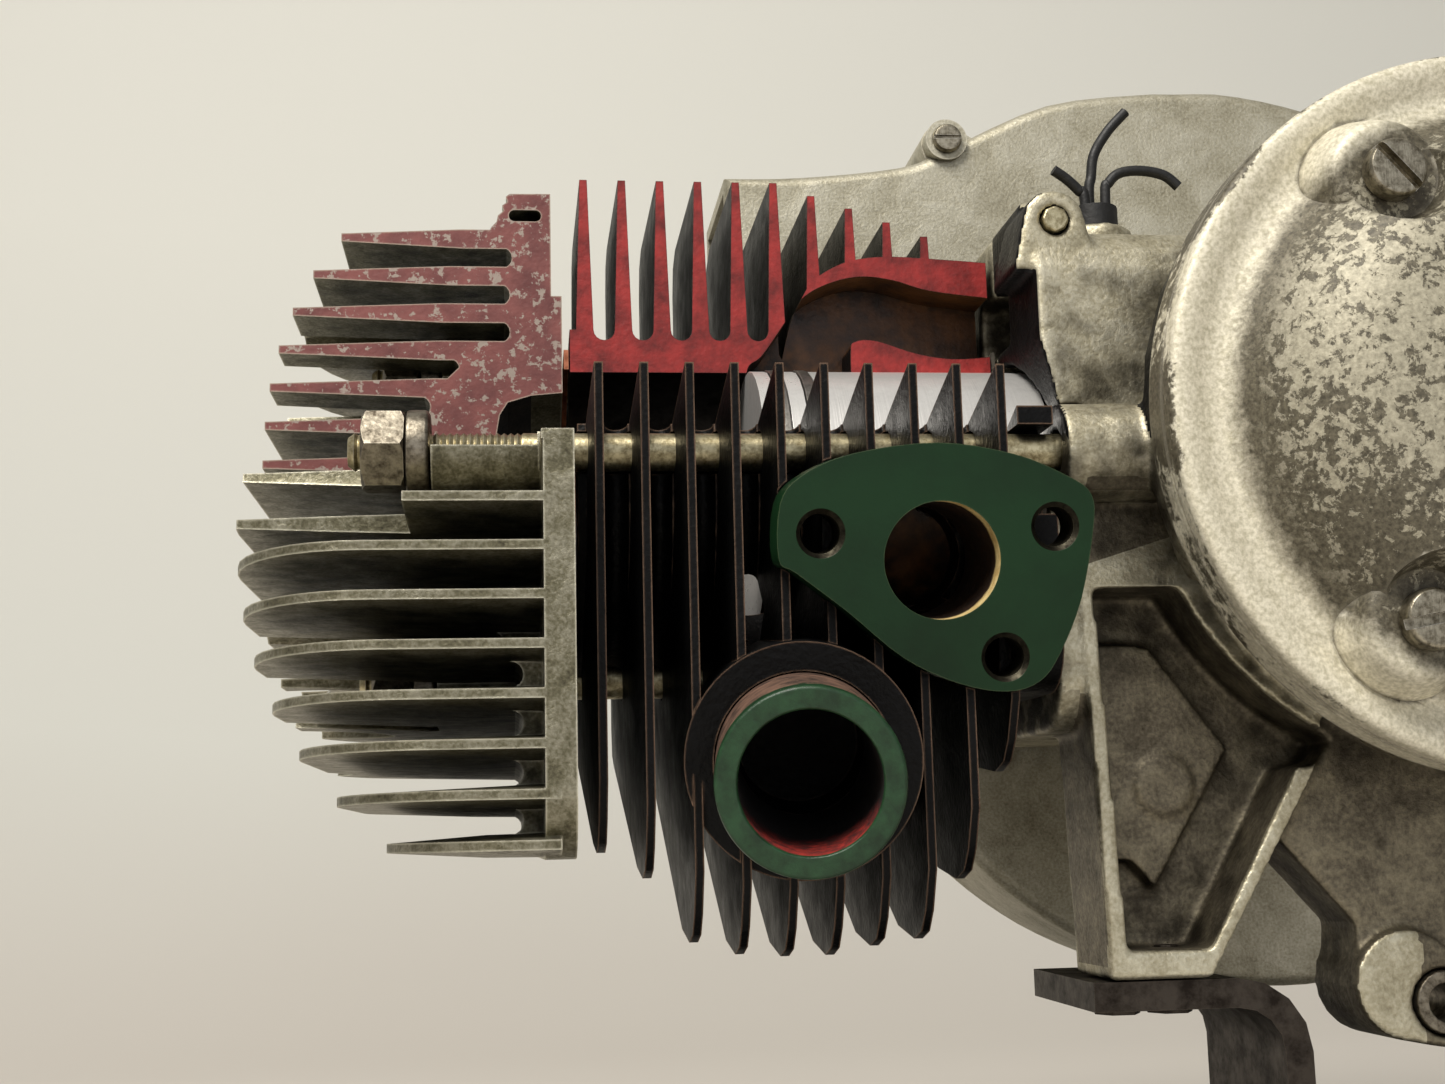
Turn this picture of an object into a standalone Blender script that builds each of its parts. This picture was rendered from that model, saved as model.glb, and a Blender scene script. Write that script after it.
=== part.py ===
"""Cutaway fan-cooled two-stroke engine on a display stand.

The cylinder lies along X with its head on the left. The upper front quarter of
the head and the cylinder is cut away. The crankshaft runs along Y, with the
clutch cover in front and the cooling fan behind. Every place below is measured
from the point where the cylinder axis meets the cylinder's top face, and the
finished engine stands with its base plate on the ground.
"""
import math

import bmesh
import bpy
from mathutils import Matrix, Vector

# Clearances and overruns
GAP = 0.0003
OVERRUN = 0.02
MERGE = 0.00001

# Roundness of turned pieces
ROUND_COVER = 40
ROUND_LARGE = 32
ROUND_MEDIUM = 20
ROUND_SMALL = 12
ROUND_TINY = 8

# Bore and stroke
CYLINDER_LENGTH = 0.0905
CRANK_BEYOND = 0.0835
CRANK_X = CYLINDER_LENGTH + CRANK_BEYOND
BORE_RADIUS = 0.0285
CRANK_THROW = 0.0285
ROD_LENGTH = 0.110
REST_TURN = math.radians(98)

# Cylinder
BARREL_WALL = 0.007
FIN_COUNT = 10
FIN_PITCH = 0.0082
FIRST_FIN = 0.0032
FIN_REACH_UP = 0.0708
FIN_REACH_DOWN = 0.0902
FIN_BACK_DROP = 0.052
FIN_HALF_WIDTH = 0.056
FIN_ROOT = 0.0042
FIN_TIP = 0.0018
FIN_CORNER = 0.009
FIN_ROOT_SHARE = 0.42
FIN_TOP_SHARES = (1, 1, 1, 1, 1, 1, 0.96, 0.922, 0.88, 0.836)
FIN_DROP_SHARES = (0.788, 0.84, 0.968, 0.993, 1, 1, 0.984, 0.973, 0.857, 0.643)
BASE_FLANGE = 0.007
BASE_HALF = 0.043
BASE_CORNER = 0.010

# Transfer passage, in the upper wall of the cylinder
TRANSFER_HALF_WIDTH = 0.011
TRANSFER_WALL = 0.005
TRANSFER_TOP = 0.0545
TRANSFER_ROOF_SHARES = ((0.50, 0.50), (0.55, 0.83), (0.63, 0.955), (0.74, 1.0), (0.90, 0.99), (1.0, 0.98))
PASSAGE_ROOF_SHARES = (
    (0.408, 0.40), (0.415, 0.54), (0.45, 0.59), (0.50, 0.71), (0.547, 0.82), (0.61, 0.885),
    (0.69, 0.918), (0.77, 0.905), (0.86, 0.862), (1.0, 0.835),
)
PASSAGE_FLOOR_SHARES = ((1.0, 0.595), (0.91, 0.583), (0.82, 0.605), (0.725, 0.655), (0.675, 0.652), (0.663, 0.61), (0.663, 0.40))

# Cutaway planes
CUT_EDGE_OUT = 0.0285
CUT_EDGE_RISE = 0.006
CUT_SLOPE = math.radians(20)
CUT_REACH = 0.1
HEAD_CUT_RISE = 0.0055
HEAD_CUT_RIM_RISE = 0.0015
HEAD_CUT_RIM_BAND = 0.0180
HEAD_CUT_FRONT = 0.0280
HEAD_CUT_FRONT_DROP = 0.0030
NUT_CUT_START = 0.0310
NUT_CUT_FRONT = 0.0380
NUT_CUT_DROP = 0.0140

# Inlet and exhaust, which both point down a little towards the front
PORT_TILT = math.radians(9)
INLET_X = 0.0633
INLET_DROP = 0.0214
INLET_FRONT = 0.062
INLET_RADIUS = 0.0105
INLET_NECK_WALL = 0.0045
INLET_NECK_REACH = 0.026
INLET_PORT_REACH = 0.045
FLANGE_THICK = 0.009
FLANGE_HALF_WIDTH = 0.0284
FLANGE_HALF_HEIGHT = 0.0221
FLANGE_SHIFT_X = -0.0009
FLANGE_SHIFT_Z = -0.0013
FLANGE_BOLT_RADIUS = 0.0037
FLANGE_BOLTS = ((-0.0218, 0.0048), (0.0205, 0.0059), (0.0113, -0.0173))
FLANGE_OUTLINE_SHARES = (
    (-1.0, 0.07), (-0.99, 0.51), (-0.86, 0.73), (-0.54, 0.91), (0.0, 1.0), (0.49, 0.91),
    (0.84, 0.73), (0.99, 0.58), (1.0, 0.31), (0.92, -0.26), (0.78, -0.70), (0.65, -0.92),
    (0.44, -1.0), (0.13, -0.93), (-0.22, -0.72), (-0.57, -0.35), (-0.89, -0.04),
)
EXHAUST_X = 0.0343
EXHAUST_DROP = 0.0608
EXHAUST_FRONT = 0.088
EXHAUST_RADIUS = 0.0116
EXHAUST_WALL = 0.0038
EXHAUST_LENGTH = 0.046
EXHAUST_DUCT_REACH = 0.064
EXHAUST_BOSS_WALL = 0.0055
EXHAUST_BOSS_START = 0.030
EXHAUST_BOSS_END = 0.072
EXHAUST_PORT_RADIUS = 0.008
EXHAUST_PORT_TURN = math.radians(225)
EXHAUST_PORT_REACH = 0.046
EXHAUST_SPLAY = math.radians(7)

# Studs, nuts and washers
STUD_RADIUS = 0.0036
STUD_CIRCLE = 0.0375
STUD_TURNS = (math.radians(175), math.radians(55), math.radians(-20), math.radians(262))
STUD_HOLE_CLEARANCE = 0.0006
STUD_OUT = 0.0424
STUD_IN = 0.016
TAPPED_DEPTH = 0.0175
NUT_FLATS = 0.014
NUT_HEIGHT = 0.0078
WASHER_RADIUS = 0.0079
WASHER_THICK = 0.0044

# Cylinder head
GASKET_THICK = 0.001
GASKET_BORE_STEP = 0.0006
HEAD_PLATE = 0.0054
HEAD_STEP = 0.0022
HEAD_STEP_RISE = 0.045
HEAD_LUG_THICK = 0.0068
HEAD_LUG_START = 0.0040
HEAD_LUG_END = 0.0300
HEAD_LUG_HEIGHT = 0.0080
HEAD_UP = 0.0675
HEAD_DOWN = 0.072
HEAD_HALF_WIDTH = 0.066
HEAD_CORNER = 0.012
HEAD_FIN_UPPER_COUNT = 8
HEAD_FIN_UPPER_PITCH = 0.0081
HEAD_FIN_TOP = 0.0573
HEAD_FIN_LOWER_COUNT = 8
HEAD_FIN_LOWER_PITCH = 0.00845
HEAD_FIN_LOWER_TOP = -0.0103
HEAD_FIN_ROOT = 0.0042
HEAD_FIN_TIP = 0.0018
HEAD_FIN_REACH = 0.0630
HEAD_FIN_SHORTENING = 0.0155
HEAD_FIN_SHORTENING_AT = 0.0573
HEAD_FIN_SHORTENING_POWER = 3
HEAD_FIN_CORNER_X = 0.025
HEAD_FIN_CORNER_Y = 0.035
HEAD_FIN_ROOT_SHARE = 0.42
CORE_RADIUS = 0.036
CORE_DEPTH = 0.0260
CORE_SHARES = ((1.0, 0.05), (1.0, 0.30), (0.917, 0.65), (0.722, 0.92), (0.0, 1.0))
CHAMBER_RADIUS = 0.0240
CHAMBER_DEPTH = 0.0142
CHAMBER_SHARES = ((1.0, 0.0), (0.914, 0.80), (0.80, 0.92), (0.567, 0.985), (0.0, 1.0))
HEAD_BOSS_RADIUS = 0.0082
HEAD_BOSS_REACH = 0.0270
NUT_POCKET_RADIUS = 0.0112

# Spark plug, on the back of the head
PLUG_TURN = math.radians(45)
PLUG_DROP_TURN = math.radians(-57)
PLUG_X = -0.0100
PLUG_Y = 0.0030
PLUG_Z = -0.0050
PLUG_SEAT = 0.0185
PLUG_BOSS_RADIUS = 0.0135
PLUG_THREAD_RADIUS = 0.007
PLUG_THREAD_LENGTH = 0.0125
PLUG_HEX_FLATS = 0.0208
PLUG_HEX_HEIGHT = 0.009
PLUG_BODY_RADIUS = 0.0055
PLUG_BODY_LENGTH = 0.024
PLUG_TERMINAL_RADIUS = 0.0032
PLUG_TERMINAL_LENGTH = 0.007
PLUG_POCKET_RADIUS = 0.0135

# Piston and rod
PISTON_CLEARANCE = 0.0006
CROWN_HEIGHT = 0.0345
PISTON_LENGTH = 0.058
PISTON_WALL = 0.0032
CROWN_THICK = 0.006
RING_WIDTH = 0.0022
RING_DEPTH = 0.0018
RING_PLACES = (0.0045, 0.0105)
RING_GAP = 0.0012
PIN_RADIUS = 0.0075
PIN_LENGTH = 0.046
PIN_BORE_RADIUS = 0.0045
PIN_BOSS_RADIUS = 0.0115
PIN_BOSS_INNER = 0.0100
CLIP_THICK = 0.0012
CLIP_BAND = 0.0026
CLIP_GRIP = 0.0008
ROD_WIDTH = 0.014
SMALL_END_WALL = 0.0042
BIG_END_CLEARANCE = 0.0026
BIG_END_WALL = 0.0042
ROD_WAIST = 0.012
ROD_FOOT = 0.016
ROD_SHANK_SHARE = 0.62

# Crankshaft
CRANK_PIN_RADIUS = 0.0100
WEB_RADIUS = 0.0440
WEB_THICK = 0.0135
WEB_INNER = 0.0085
SHAFT_RADIUS = 0.0125
SHAFT_FRONT_SHOULDER = 0.0525
SHAFT_FRONT_END = 0.0680
SHAFT_BACK_SHOULDER = 0.0650
SHAFT_BACK_END = 0.0920
SHAFT_NOSE_RADIUS = 0.0075
CRANK_PIN_BITE = 0.0100
BEARING_RADIUS = 0.0235
BEARING_WIDTH = 0.014
BEARING_START = 0.0245

# Crankcase
JOINT_ROOM = 0.0013
CASE_MOUTH = CYLINDER_LENGTH + JOINT_ROOM
CASE_RADIUS = 0.0560
CHAMBER_CLEARANCE = 0.0040
CASE_FRONT = 0.0500
CASE_BACK = 0.0500
CASE_RIM_RADIUS = 0.0687
CASE_RIM_THICK = 0.0070
NECK_TOP = 0.0520
NECK_BOTTOM = 0.0500
NECK_FRONT = 0.0330
NECK_BACK = 0.0450
NECK_CORNER = 0.010
MOUTH_TOP = 0.0590
MOUTH_THICK = 0.0055
NECK_BORE_CLEARANCE = 0.0012
SHAFT_HOLE_CLEARANCE = 0.0015
CHAMBER_HALF = 0.0240
BACK_BOSS_RADIUS = 0.0360
BACK_BOSS_REACH = 0.0120
STUD_BOSS_RADIUS = 0.0098
STUD_BOSS_START = 0.0055
STUD_BOSS_LENGTH = 0.0300
CASE_PASSAGE_TOP = 0.0455
CASE_PASSAGE_BOTTOM = 0.0325
CASE_PASSAGE_LENGTH = 0.0500
SECTION_EDGE_SHARES = (
    (-0.35, 1.3), (-0.05, 1.3), (-0.03, 0.60), (0.038, 0.327), (0.052, 0.242),
    (0.137, 0.242), (0.160, 0.139), (0.150, 0.04), (-0.35, 0.04),
)
SECTION_SPAN = 0.0575
LUG_BEYOND = 0.0060
LUG_X = CYLINDER_LENGTH + LUG_BEYOND
LUG_RISE = 0.0523
LUG_RADIUS = 0.0065
LUG_FOOT_HALF = 0.0088
LUG_FRONT = 0.0320
LUG_BACK = 0.0140
LUG_PIN_RADIUS = 0.0028
LUG_PIN_PROUD = 0.0008

# Bracket under the crankcase
BRACKET_TOP_BEYOND = 0.0065
BRACKET_TOP_X = CYLINDER_LENGTH + BRACKET_TOP_BEYOND
BRACKET_TOP_DROP = 0.0220
BRACKET_FOOT_BEYOND = 0.0087
BRACKET_FOOT_X = CYLINDER_LENGTH + BRACKET_FOOT_BEYOND
BRACKET_FOOT_WIDTH = 0.0195
BRACKET_ELBOW_BEYOND = 0.0515
BRACKET_ELBOW_X = CYLINDER_LENGTH + BRACKET_ELBOW_BEYOND
BRACKET_ELBOW_DROP = 0.0585
BRACKET_SHOULDER_BEYOND = 0.0595
BRACKET_SHOULDER_X = CYLINDER_LENGTH + BRACKET_SHOULDER_BEYOND
BRACKET_DROP = 0.0972
BRACKET_FRONT = 0.0336
BRACKET_BACK = 0.0110
BRACKET_RIB = 0.0034
BRACKET_FLOOR = 0.0055
BRACKET_POCKET_DEPTH = 0.0150
BRACKET_POCKET_TOP_DROP = 0.0315
BRACKET_POCKET_TOP_WIDTH = 0.0180
BRACKET_POCKET_FOOT_WIDTH = 0.0165
BRACKET_POCKET_ELBOW_BEYOND = 0.0478
BRACKET_POCKET_ELBOW_X = CYLINDER_LENGTH + BRACKET_POCKET_ELBOW_BEYOND
BRACKET_POCKET_ELBOW_DROP = 0.0580
CAST_MARK_BEYOND = 0.0293
CAST_MARK_X = CYLINDER_LENGTH + CAST_MARK_BEYOND
CAST_MARK_DROP = 0.0608
CAST_MARK_RADIUS = 0.0058
CAST_MARK_PROUD = 0.0010
PIVOT_BEYOND = 0.0738
PIVOT_X = CYLINDER_LENGTH + PIVOT_BEYOND
PIVOT_BELOW = 0.0059
PIVOT_RADIUS = 0.0085
PIVOT_TOE = 0.0069
PIVOT_TOE_RISE = 0.0034
PIVOT_TOE_RADIUS = 0.0105
PIVOT_BUSH_RADIUS = 0.0060
PIVOT_BOLT_RADIUS = 0.0036
PIVOT_FRONT = 0.0340
PIVOT_BACK = 0.0140
ARM_LEFT_BEYOND = 0.0449
ARM_LEFT_X = CYLINDER_LENGTH + ARM_LEFT_BEYOND
ARM_LEFT_DROP = 0.0726
ARM_WAIST_BEYOND = 0.0586
ARM_WAIST_X = CYLINDER_LENGTH + ARM_WAIST_BEYOND
ARM_WAIST_DROP = 0.0883
ARM_RIGHT_BEYOND = 0.0995
ARM_RIGHT_X = CYLINDER_LENGTH + ARM_RIGHT_BEYOND
ARM_TOP_DROP = 0.0450
ARM_FRONT = 0.0310
ARM_SHARE = 0.93

# Side cover
COVER_ACROSS = 0.0025
COVER_RISE = 0.0075
COVER_RADIUS = 0.0695
COVER_RIM_BAND = 0.0095
COVER_RIM_DEPTH = 0.0120
COVER_RIM_STEP = 0.0015
COVER_RIM_ROUND = 0.0012
COVER_EDGE_SHARE = 0.90
COVER_GROOVE_SHARE = 0.80
COVER_DOME_DEPTH = 0.0330
COVER_SKIN = 0.0032
COVER_DOME_SHARES = ((0.0, 1.0), (0.30, 0.985), (0.50, 0.93), (0.64, 0.80), (0.74, 0.60), (0.80, 0.42), (0.84, 0.33))
COVER_SCREW_CIRCLE = 0.0500
COVER_SCREW_TURNS = (math.radians(124), math.radians(236), 0.0)
COVER_SCREW_BOSS = 0.0085
COVER_SCREW_ROOM = 0.0010
COVER_SCREW_SEAT = 0.0195
COVER_SCREW_HEAD = 0.0056
COVER_SCREW_HEAD_DEPTH = 0.0040
COVER_SCREW_SHANK = 0.0029
COVER_SCREW_BITE = 0.0055
SLOT_WIDTH = 0.0014
SLOT_DEPTH = 0.0016

# Clutch drum
CLUTCH_RADIUS = 0.0320
CLUTCH_LENGTH = 0.0150
CLUTCH_WALL = 0.0032
CLUTCH_NUT_FLATS = 0.0190
CLUTCH_NUT_HEIGHT = 0.0060

# Fan housing and flywheel. The outline is given as turns in degrees and shares of the fan radius.
FAN_RADIUS = 0.1070
FAN_FRONT = 0.0590
FAN_DEPTH = 0.0400
FAN_WALL = 0.0030
FAN_LIP = 0.0016
FAN_LIP_BAND = 0.0030
SCROLL_START_SHARES = ((60, 1.066), (80, 1.088), (92, 1.115), (100, 1.128))
SCROLL_END_SHARES = (
    (186, 1.03), (200, 1.02), (219, 1.012), (239, 1.01), (272, 1.0),
    (300, 0.985), (330, 0.98), (360, 0.995), (385, 1.02), (402, 1.042),
)
HORN_SHARES = (
    (-0.46, 1.075), (-0.72, 0.955), (-0.827, 0.912), (-1.066, 0.883), (-1.244, 0.8776), (-1.244, 0.12), (-1.12, 0.02),
)
HORN_CORNER = 4
SCROLL_STEP = 9
FAN_COVER_THICK = 0.0025
FAN_INLET_RADIUS = 0.0480
FAN_EARS = ((-0.718, 0.970), (0.300, -0.990), (1.030, 0.09))
FAN_EAR_RADIUS = 0.0078
FAN_SCREW_RADIUS = 0.0025
FAN_SCREW_HEAD = 0.0050
FAN_SCREW_HEAD_DEPTH = 0.0030
FLYWHEEL_RADIUS = 0.0860
FLYWHEEL_START = 0.0680
FLYWHEEL_DISC = 0.0040
BLADE_COUNT = 18
BLADE_HEIGHT = 0.0200
BLADE_THICK = 0.0022
BLADE_INNER = 0.0620
BLADE_LEAN = math.radians(25)
HUB_RADIUS = 0.0210
HUB_START = 0.0655
HUB_END = 0.0820
FLYWHEEL_NUT_FLATS = 0.0190
FLYWHEEL_NUT_HEIGHT = 0.0070

# Wires
WIRE_RADIUS = 0.0012
GROMMET_RADIUS = 0.0052
GROMMET_HEIGHT = 0.0050
GROMMET_BEYOND = 0.0280
GROMMET_X = CYLINDER_LENGTH + GROMMET_BEYOND
GROMMET_Y = 0.0090
GROMMET_SEAT = 0.0638
GROMMET_BOSS_RADIUS = 0.0082
WIRE_SINK = 0.0185
WIRE_PLACES = ((-0.0024, -0.0014), (0.0, 0.0026), (0.0024, -0.0014))
WIRE_ROUTES = (
    ((0.0, 0.0, 0.002), (-0.0012, 0.0, 0.0042), (-0.0042, -0.0005, 0.0068), (-0.0072, -0.0010, 0.0086)),
    ((0.0, 0.0, 0.004), (0.0008, 0.0003, 0.009), (0.0018, 0.0003, 0.0145), (0.0052, 0.0, 0.0200), (0.0095, -0.0005, 0.0246)),
    ((0.0, 0.0, 0.003), (0.0010, 0.0, 0.0062), (0.0038, 0.0, 0.0086), (0.0088, 0.0, 0.0092), (0.0140, 0.0, 0.0082), (0.0172, 0.0, 0.0056)),
)
WIRE_STEP = 0.0040

# Stand
STRAP_THICK = 0.0055
STRAP_FRONT = 0.0320
STRAP_WIDTH = 0.0410
STRAP_LEFT_BEYOND = 0.0055
STRAP_LEFT_X = CYLINDER_LENGTH + STRAP_LEFT_BEYOND
STRAP_LEG_BEYOND = 0.0477
STRAP_LEG_X = CYLINDER_LENGTH + STRAP_LEG_BEYOND
STRAP_BEND = 0.0140
STRAP_DROP = 0.0640
FOOT_LENGTH = 0.0520
STRAP_SCREW_RADIUS = 0.0025
STRAP_SCREW_FLATS = 0.0080
STRAP_SCREW_HEAD = 0.0035
STRAP_SCREW_LENGTH = 0.0115
STRAP_SCREW_Y = -0.0215
STRAP_SCREW_SPACING = 0.0105
BASE_THICK = 0.0100
BASE_LEFT_BEYOND = -0.0955
BASE_LEFT_X = CYLINDER_LENGTH + BASE_LEFT_BEYOND
BASE_RIGHT_BEYOND = 0.1445
BASE_RIGHT_X = CYLINDER_LENGTH + BASE_RIGHT_BEYOND
BASE_HALF_DEPTH = 0.0750
BASE_ROUND = 0.0120
FOOT_BOLT_RADIUS = 0.0040
FOOT_BOLT_FLATS = 0.0130
FOOT_BOLT_HEAD = 0.0053
FOOT_BOLT_INSET = 0.0140
FOOT_BOLT_DEPTH = 0.0070
FOOT_BOLT_AFTER_LEG = 0.0280

BARREL_RADIUS = BORE_RADIUS + BARREL_WALL
HEAD_FACE = GASKET_THICK + 2 * GAP
STRAP_TOP = BRACKET_DROP + GAP
PIVOT_DROP = BRACKET_DROP + PIVOT_BELOW
BASE_TOP = STRAP_TOP + STRAP_DROP + GAP
AXIS_HEIGHT = BASE_TOP + BASE_THICK
BASE_CENTRE = (BASE_LEFT_X + BASE_RIGHT_X) / 2
PLACE = Vector((-BASE_CENTRE, 0, AXIS_HEIGHT))

PISTON_RADIUS = BORE_RADIUS - PISTON_CLEARANCE
CRANK_PIN_X = CRANK_X - CRANK_THROW * math.cos(REST_TURN)
CRANK_PIN_Z = CRANK_THROW * math.sin(REST_TURN)
GUDGEON_X = CRANK_PIN_X - math.sqrt(ROD_LENGTH ** 2 - CRANK_PIN_Z ** 2)
CROWN_X = GUDGEON_X - CROWN_HEIGHT
CASE_HOLLOW_RADIUS = WEB_RADIUS + CHAMBER_CLEARANCE
GASKET_RADIUS = STUD_CIRCLE - STUD_RADIUS - STUD_HOLE_CLEARANCE
FAN_BACK = FAN_FRONT + FAN_DEPTH
HALF_SPLIT = GAP / 2

parts = None
cutters = None


# Scene and materials

def clear_scene():
    for item in list(bpy.data.objects):
        bpy.data.objects.remove(item, do_unlink=True)


def new_collection(name):
    group = bpy.data.collections.new(name)
    bpy.context.scene.collection.children.link(group)
    return group


def finish(name, colour, roughness, metallic):
    material = bpy.data.materials.new(name)
    material.use_nodes = True
    shader = material.node_tree.nodes["Principled BSDF"]
    shader.inputs["Base Color"].default_value = (*colour, 1)
    shader.inputs["Roughness"].default_value = roughness
    shader.inputs["Metallic"].default_value = metallic
    return material


# Shapes, each made where it belongs on the engine

def outward(shape):
    bmesh.ops.recalc_face_normals(shape, faces=shape.faces)
    if shape.calc_volume(signed=True) < 0:
        bmesh.ops.reverse_faces(shape, faces=shape.faces)


def turned_to(direction):
    return Vector((0, 0, 1)).rotation_difference(Vector(direction)).to_matrix().to_4x4()


def rod_shape(start, end, radius, segments, end_radius=None):
    start = Vector(start)
    end = Vector(end)
    shape = bmesh.new()
    bmesh.ops.create_cone(
        shape, cap_ends=True, segments=segments, radius1=radius,
        radius2=radius if end_radius is None else end_radius, depth=(end - start).length,
    )
    shape.transform(Matrix.Translation((start + end) / 2) @ turned_to(end - start))
    return shape


def box_shape(low, high):
    low = Vector(low)
    high = Vector(high)
    shape = bmesh.new()
    bmesh.ops.create_cube(shape, size=1)
    shape.transform(Matrix.Translation((low + high) / 2) @ Matrix.Diagonal((*(high - low), 1)))
    return shape


def plate_shape(outline, axis, low, high):
    """A flat outline, filled and drawn out along one axis from low to high."""
    curve = bpy.data.curves.new("outline", "CURVE")
    curve.dimensions = "2D"
    curve.fill_mode = "BOTH"
    curve.extrude = (high - low) / 2
    spline = curve.splines.new("POLY")
    spline.points.add(len(outline) - 1)
    for point, (across, up) in zip(spline.points, outline):
        point.co = (across, up, 0, 1)
    spline.use_cyclic_u = True
    holder = bpy.data.objects.new("outline", curve)
    cutters.objects.link(holder)
    bpy.context.view_layer.update()
    graph = bpy.context.evaluated_depsgraph_get()
    mesh = bpy.data.meshes.new_from_object(holder.evaluated_get(graph))
    bpy.data.objects.remove(holder)
    shape = bmesh.new()
    shape.from_mesh(mesh)
    bpy.data.meshes.remove(mesh)
    bmesh.ops.remove_doubles(shape, verts=shape.verts, dist=MERGE)
    middle = (low + high) / 2
    if axis == "Y":
        place = Matrix(((1, 0, 0, 0), (0, 0, 1, middle), (0, 1, 0, 0), (0, 0, 0, 1)))
    elif axis == "X":
        place = Matrix(((0, 0, 1, middle), (1, 0, 0, 0), (0, 1, 0, 0), (0, 0, 0, 1)))
    else:
        place = Matrix.Translation((0, 0, middle))
    shape.transform(place)
    outward(shape)
    return shape


def turned_shape(profile, start, direction, segments):
    """A profile of (radius, distance along the axis) points turned round an axis."""
    mesh = bpy.data.meshes.new("profile")
    points = [(radius, 0, along) for radius, along in profile]
    closed = profile[0][0] > 0
    edges = [(i, i + 1) for i in range(len(points) - 1)]
    if closed:
        edges.append((len(points) - 1, 0))
    mesh.from_pydata(points, edges, [])
    holder = bpy.data.objects.new("profile", mesh)
    cutters.objects.link(holder)
    screw = holder.modifiers.new("turn", "SCREW")
    screw.steps = segments
    screw.render_steps = segments
    screw.use_merge_vertices = True
    screw.merge_threshold = MERGE
    bpy.context.view_layer.update()
    graph = bpy.context.evaluated_depsgraph_get()
    turned = bpy.data.meshes.new_from_object(holder.evaluated_get(graph))
    bpy.data.objects.remove(holder)
    shape = bmesh.new()
    shape.from_mesh(turned)
    bpy.data.meshes.remove(turned)
    bmesh.ops.remove_doubles(shape, verts=shape.verts, dist=MERGE)
    outward(shape)
    shape.transform(Matrix.Translation(start) @ turned_to(direction))
    return shape


def hull_shape(points):
    shape = bmesh.new()
    for point in points:
        shape.verts.new(point)
    made = bmesh.ops.convex_hull(shape, input=shape.verts)
    loose = [v for v in made["geom_interior"] if isinstance(v, bmesh.types.BMVert)]
    bmesh.ops.delete(shape, geom=loose, context="VERTS")
    outward(shape)
    return shape


def joined(*shapes):
    """Several separate shapes as one, for use as a single cutter or addition."""
    whole = bmesh.new()
    for shape in shapes:
        mesh = bpy.data.meshes.new("piece")
        shape.to_mesh(mesh)
        shape.free()
        whole.from_mesh(mesh)
        bpy.data.meshes.remove(mesh)
    return whole


def rounded_box(low, high, corner, steps=4):
    """Outline of an upright rectangle with round corners."""
    points = []
    centres = (
        (high[0] - corner, high[1] - corner, 0), (low[0] + corner, high[1] - corner, 90),
        (low[0] + corner, low[1] + corner, 180), (high[0] - corner, low[1] + corner, 270),
    )
    for across, up, start in centres:
        for step in range(steps + 1):
            turn = math.radians(start + 90 * step / steps)
            points.append((across + corner * math.cos(turn), up + corner * math.sin(turn)))
    return points


def add_object(name, shape, origin, group):
    mesh = bpy.data.meshes.new(name)
    shape.transform(Matrix.Translation(-Vector(origin)))
    shape.to_mesh(mesh)
    shape.free()
    item = bpy.data.objects.new(name, mesh)
    item.location = PLACE + Vector(origin)
    group.objects.link(item)
    return item


def add_part(name, shape, material, origin=(0, 0, 0)):
    item = add_object(name, shape, origin, parts)
    item.data.materials.append(material)
    return item


def change(item, operation, shape):
    """Add a shape to a part, or cut it away."""
    tool = add_object(f"{item.name}_{operation.lower()}_{len(item.modifiers)}", shape, (0, 0, 0), cutters)
    tool.hide_render = True
    tool.display_type = "WIRE"
    step = item.modifiers.new(operation.lower(), "BOOLEAN")
    step.operation = operation
    step.solver = "EXACT"
    step.object = tool


def add_to(item, shape):
    change(item, "UNION", shape)


def cut_from(item, shape):
    change(item, "DIFFERENCE", shape)


def hexagon_shape(start, end, flats):
    radius = flats / 2 / math.cos(math.radians(30))
    return rod_shape(start, end, radius, 6)


# Places that several pieces share

def stud_place(index):
    turn = STUD_TURNS[index]
    return Vector((0, STUD_CIRCLE * math.cos(turn), STUD_CIRCLE * math.sin(turn)))


def stud_holes(start, end, radius):
    shapes = []
    for index in range(len(STUD_TURNS)):
        place = stud_place(index)
        shapes.append(rod_shape(place + Vector((start, 0, 0)), place + Vector((end, 0, 0)), radius, ROUND_TINY))
    return joined(*shapes)


PORT_DIRECTION = Vector((0, math.cos(PORT_TILT), math.sin(PORT_TILT)))
EXHAUST_DIRECTION = Matrix.Rotation(-EXHAUST_SPLAY, 3, "Z") @ PORT_DIRECTION
INLET_START = Vector((INLET_X, -INLET_FRONT, -INLET_DROP))
EXHAUST_START = Vector((EXHAUST_X, -EXHAUST_FRONT, -EXHAUST_DROP))


def port_rod(start, near, far, radius, segments):
    direction = EXHAUST_DIRECTION if start == EXHAUST_START else PORT_DIRECTION
    return rod_shape(start + direction * near, start + direction * far, radius, segments)


def quarter_cut():
    rise = CUT_EDGE_RISE + (CUT_REACH - CUT_EDGE_OUT) * math.tan(CUT_SLOPE)
    inner_rise = CUT_EDGE_RISE - CUT_EDGE_OUT * math.tan(CUT_SLOPE)
    outline = [(0, CUT_REACH), (-CUT_REACH, CUT_REACH), (-CUT_REACH, rise), (0, inner_rise)]
    return plate_shape(outline, "X", -OVERRUN, CYLINDER_LENGTH + OVERRUN)


# Cylinder

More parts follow.
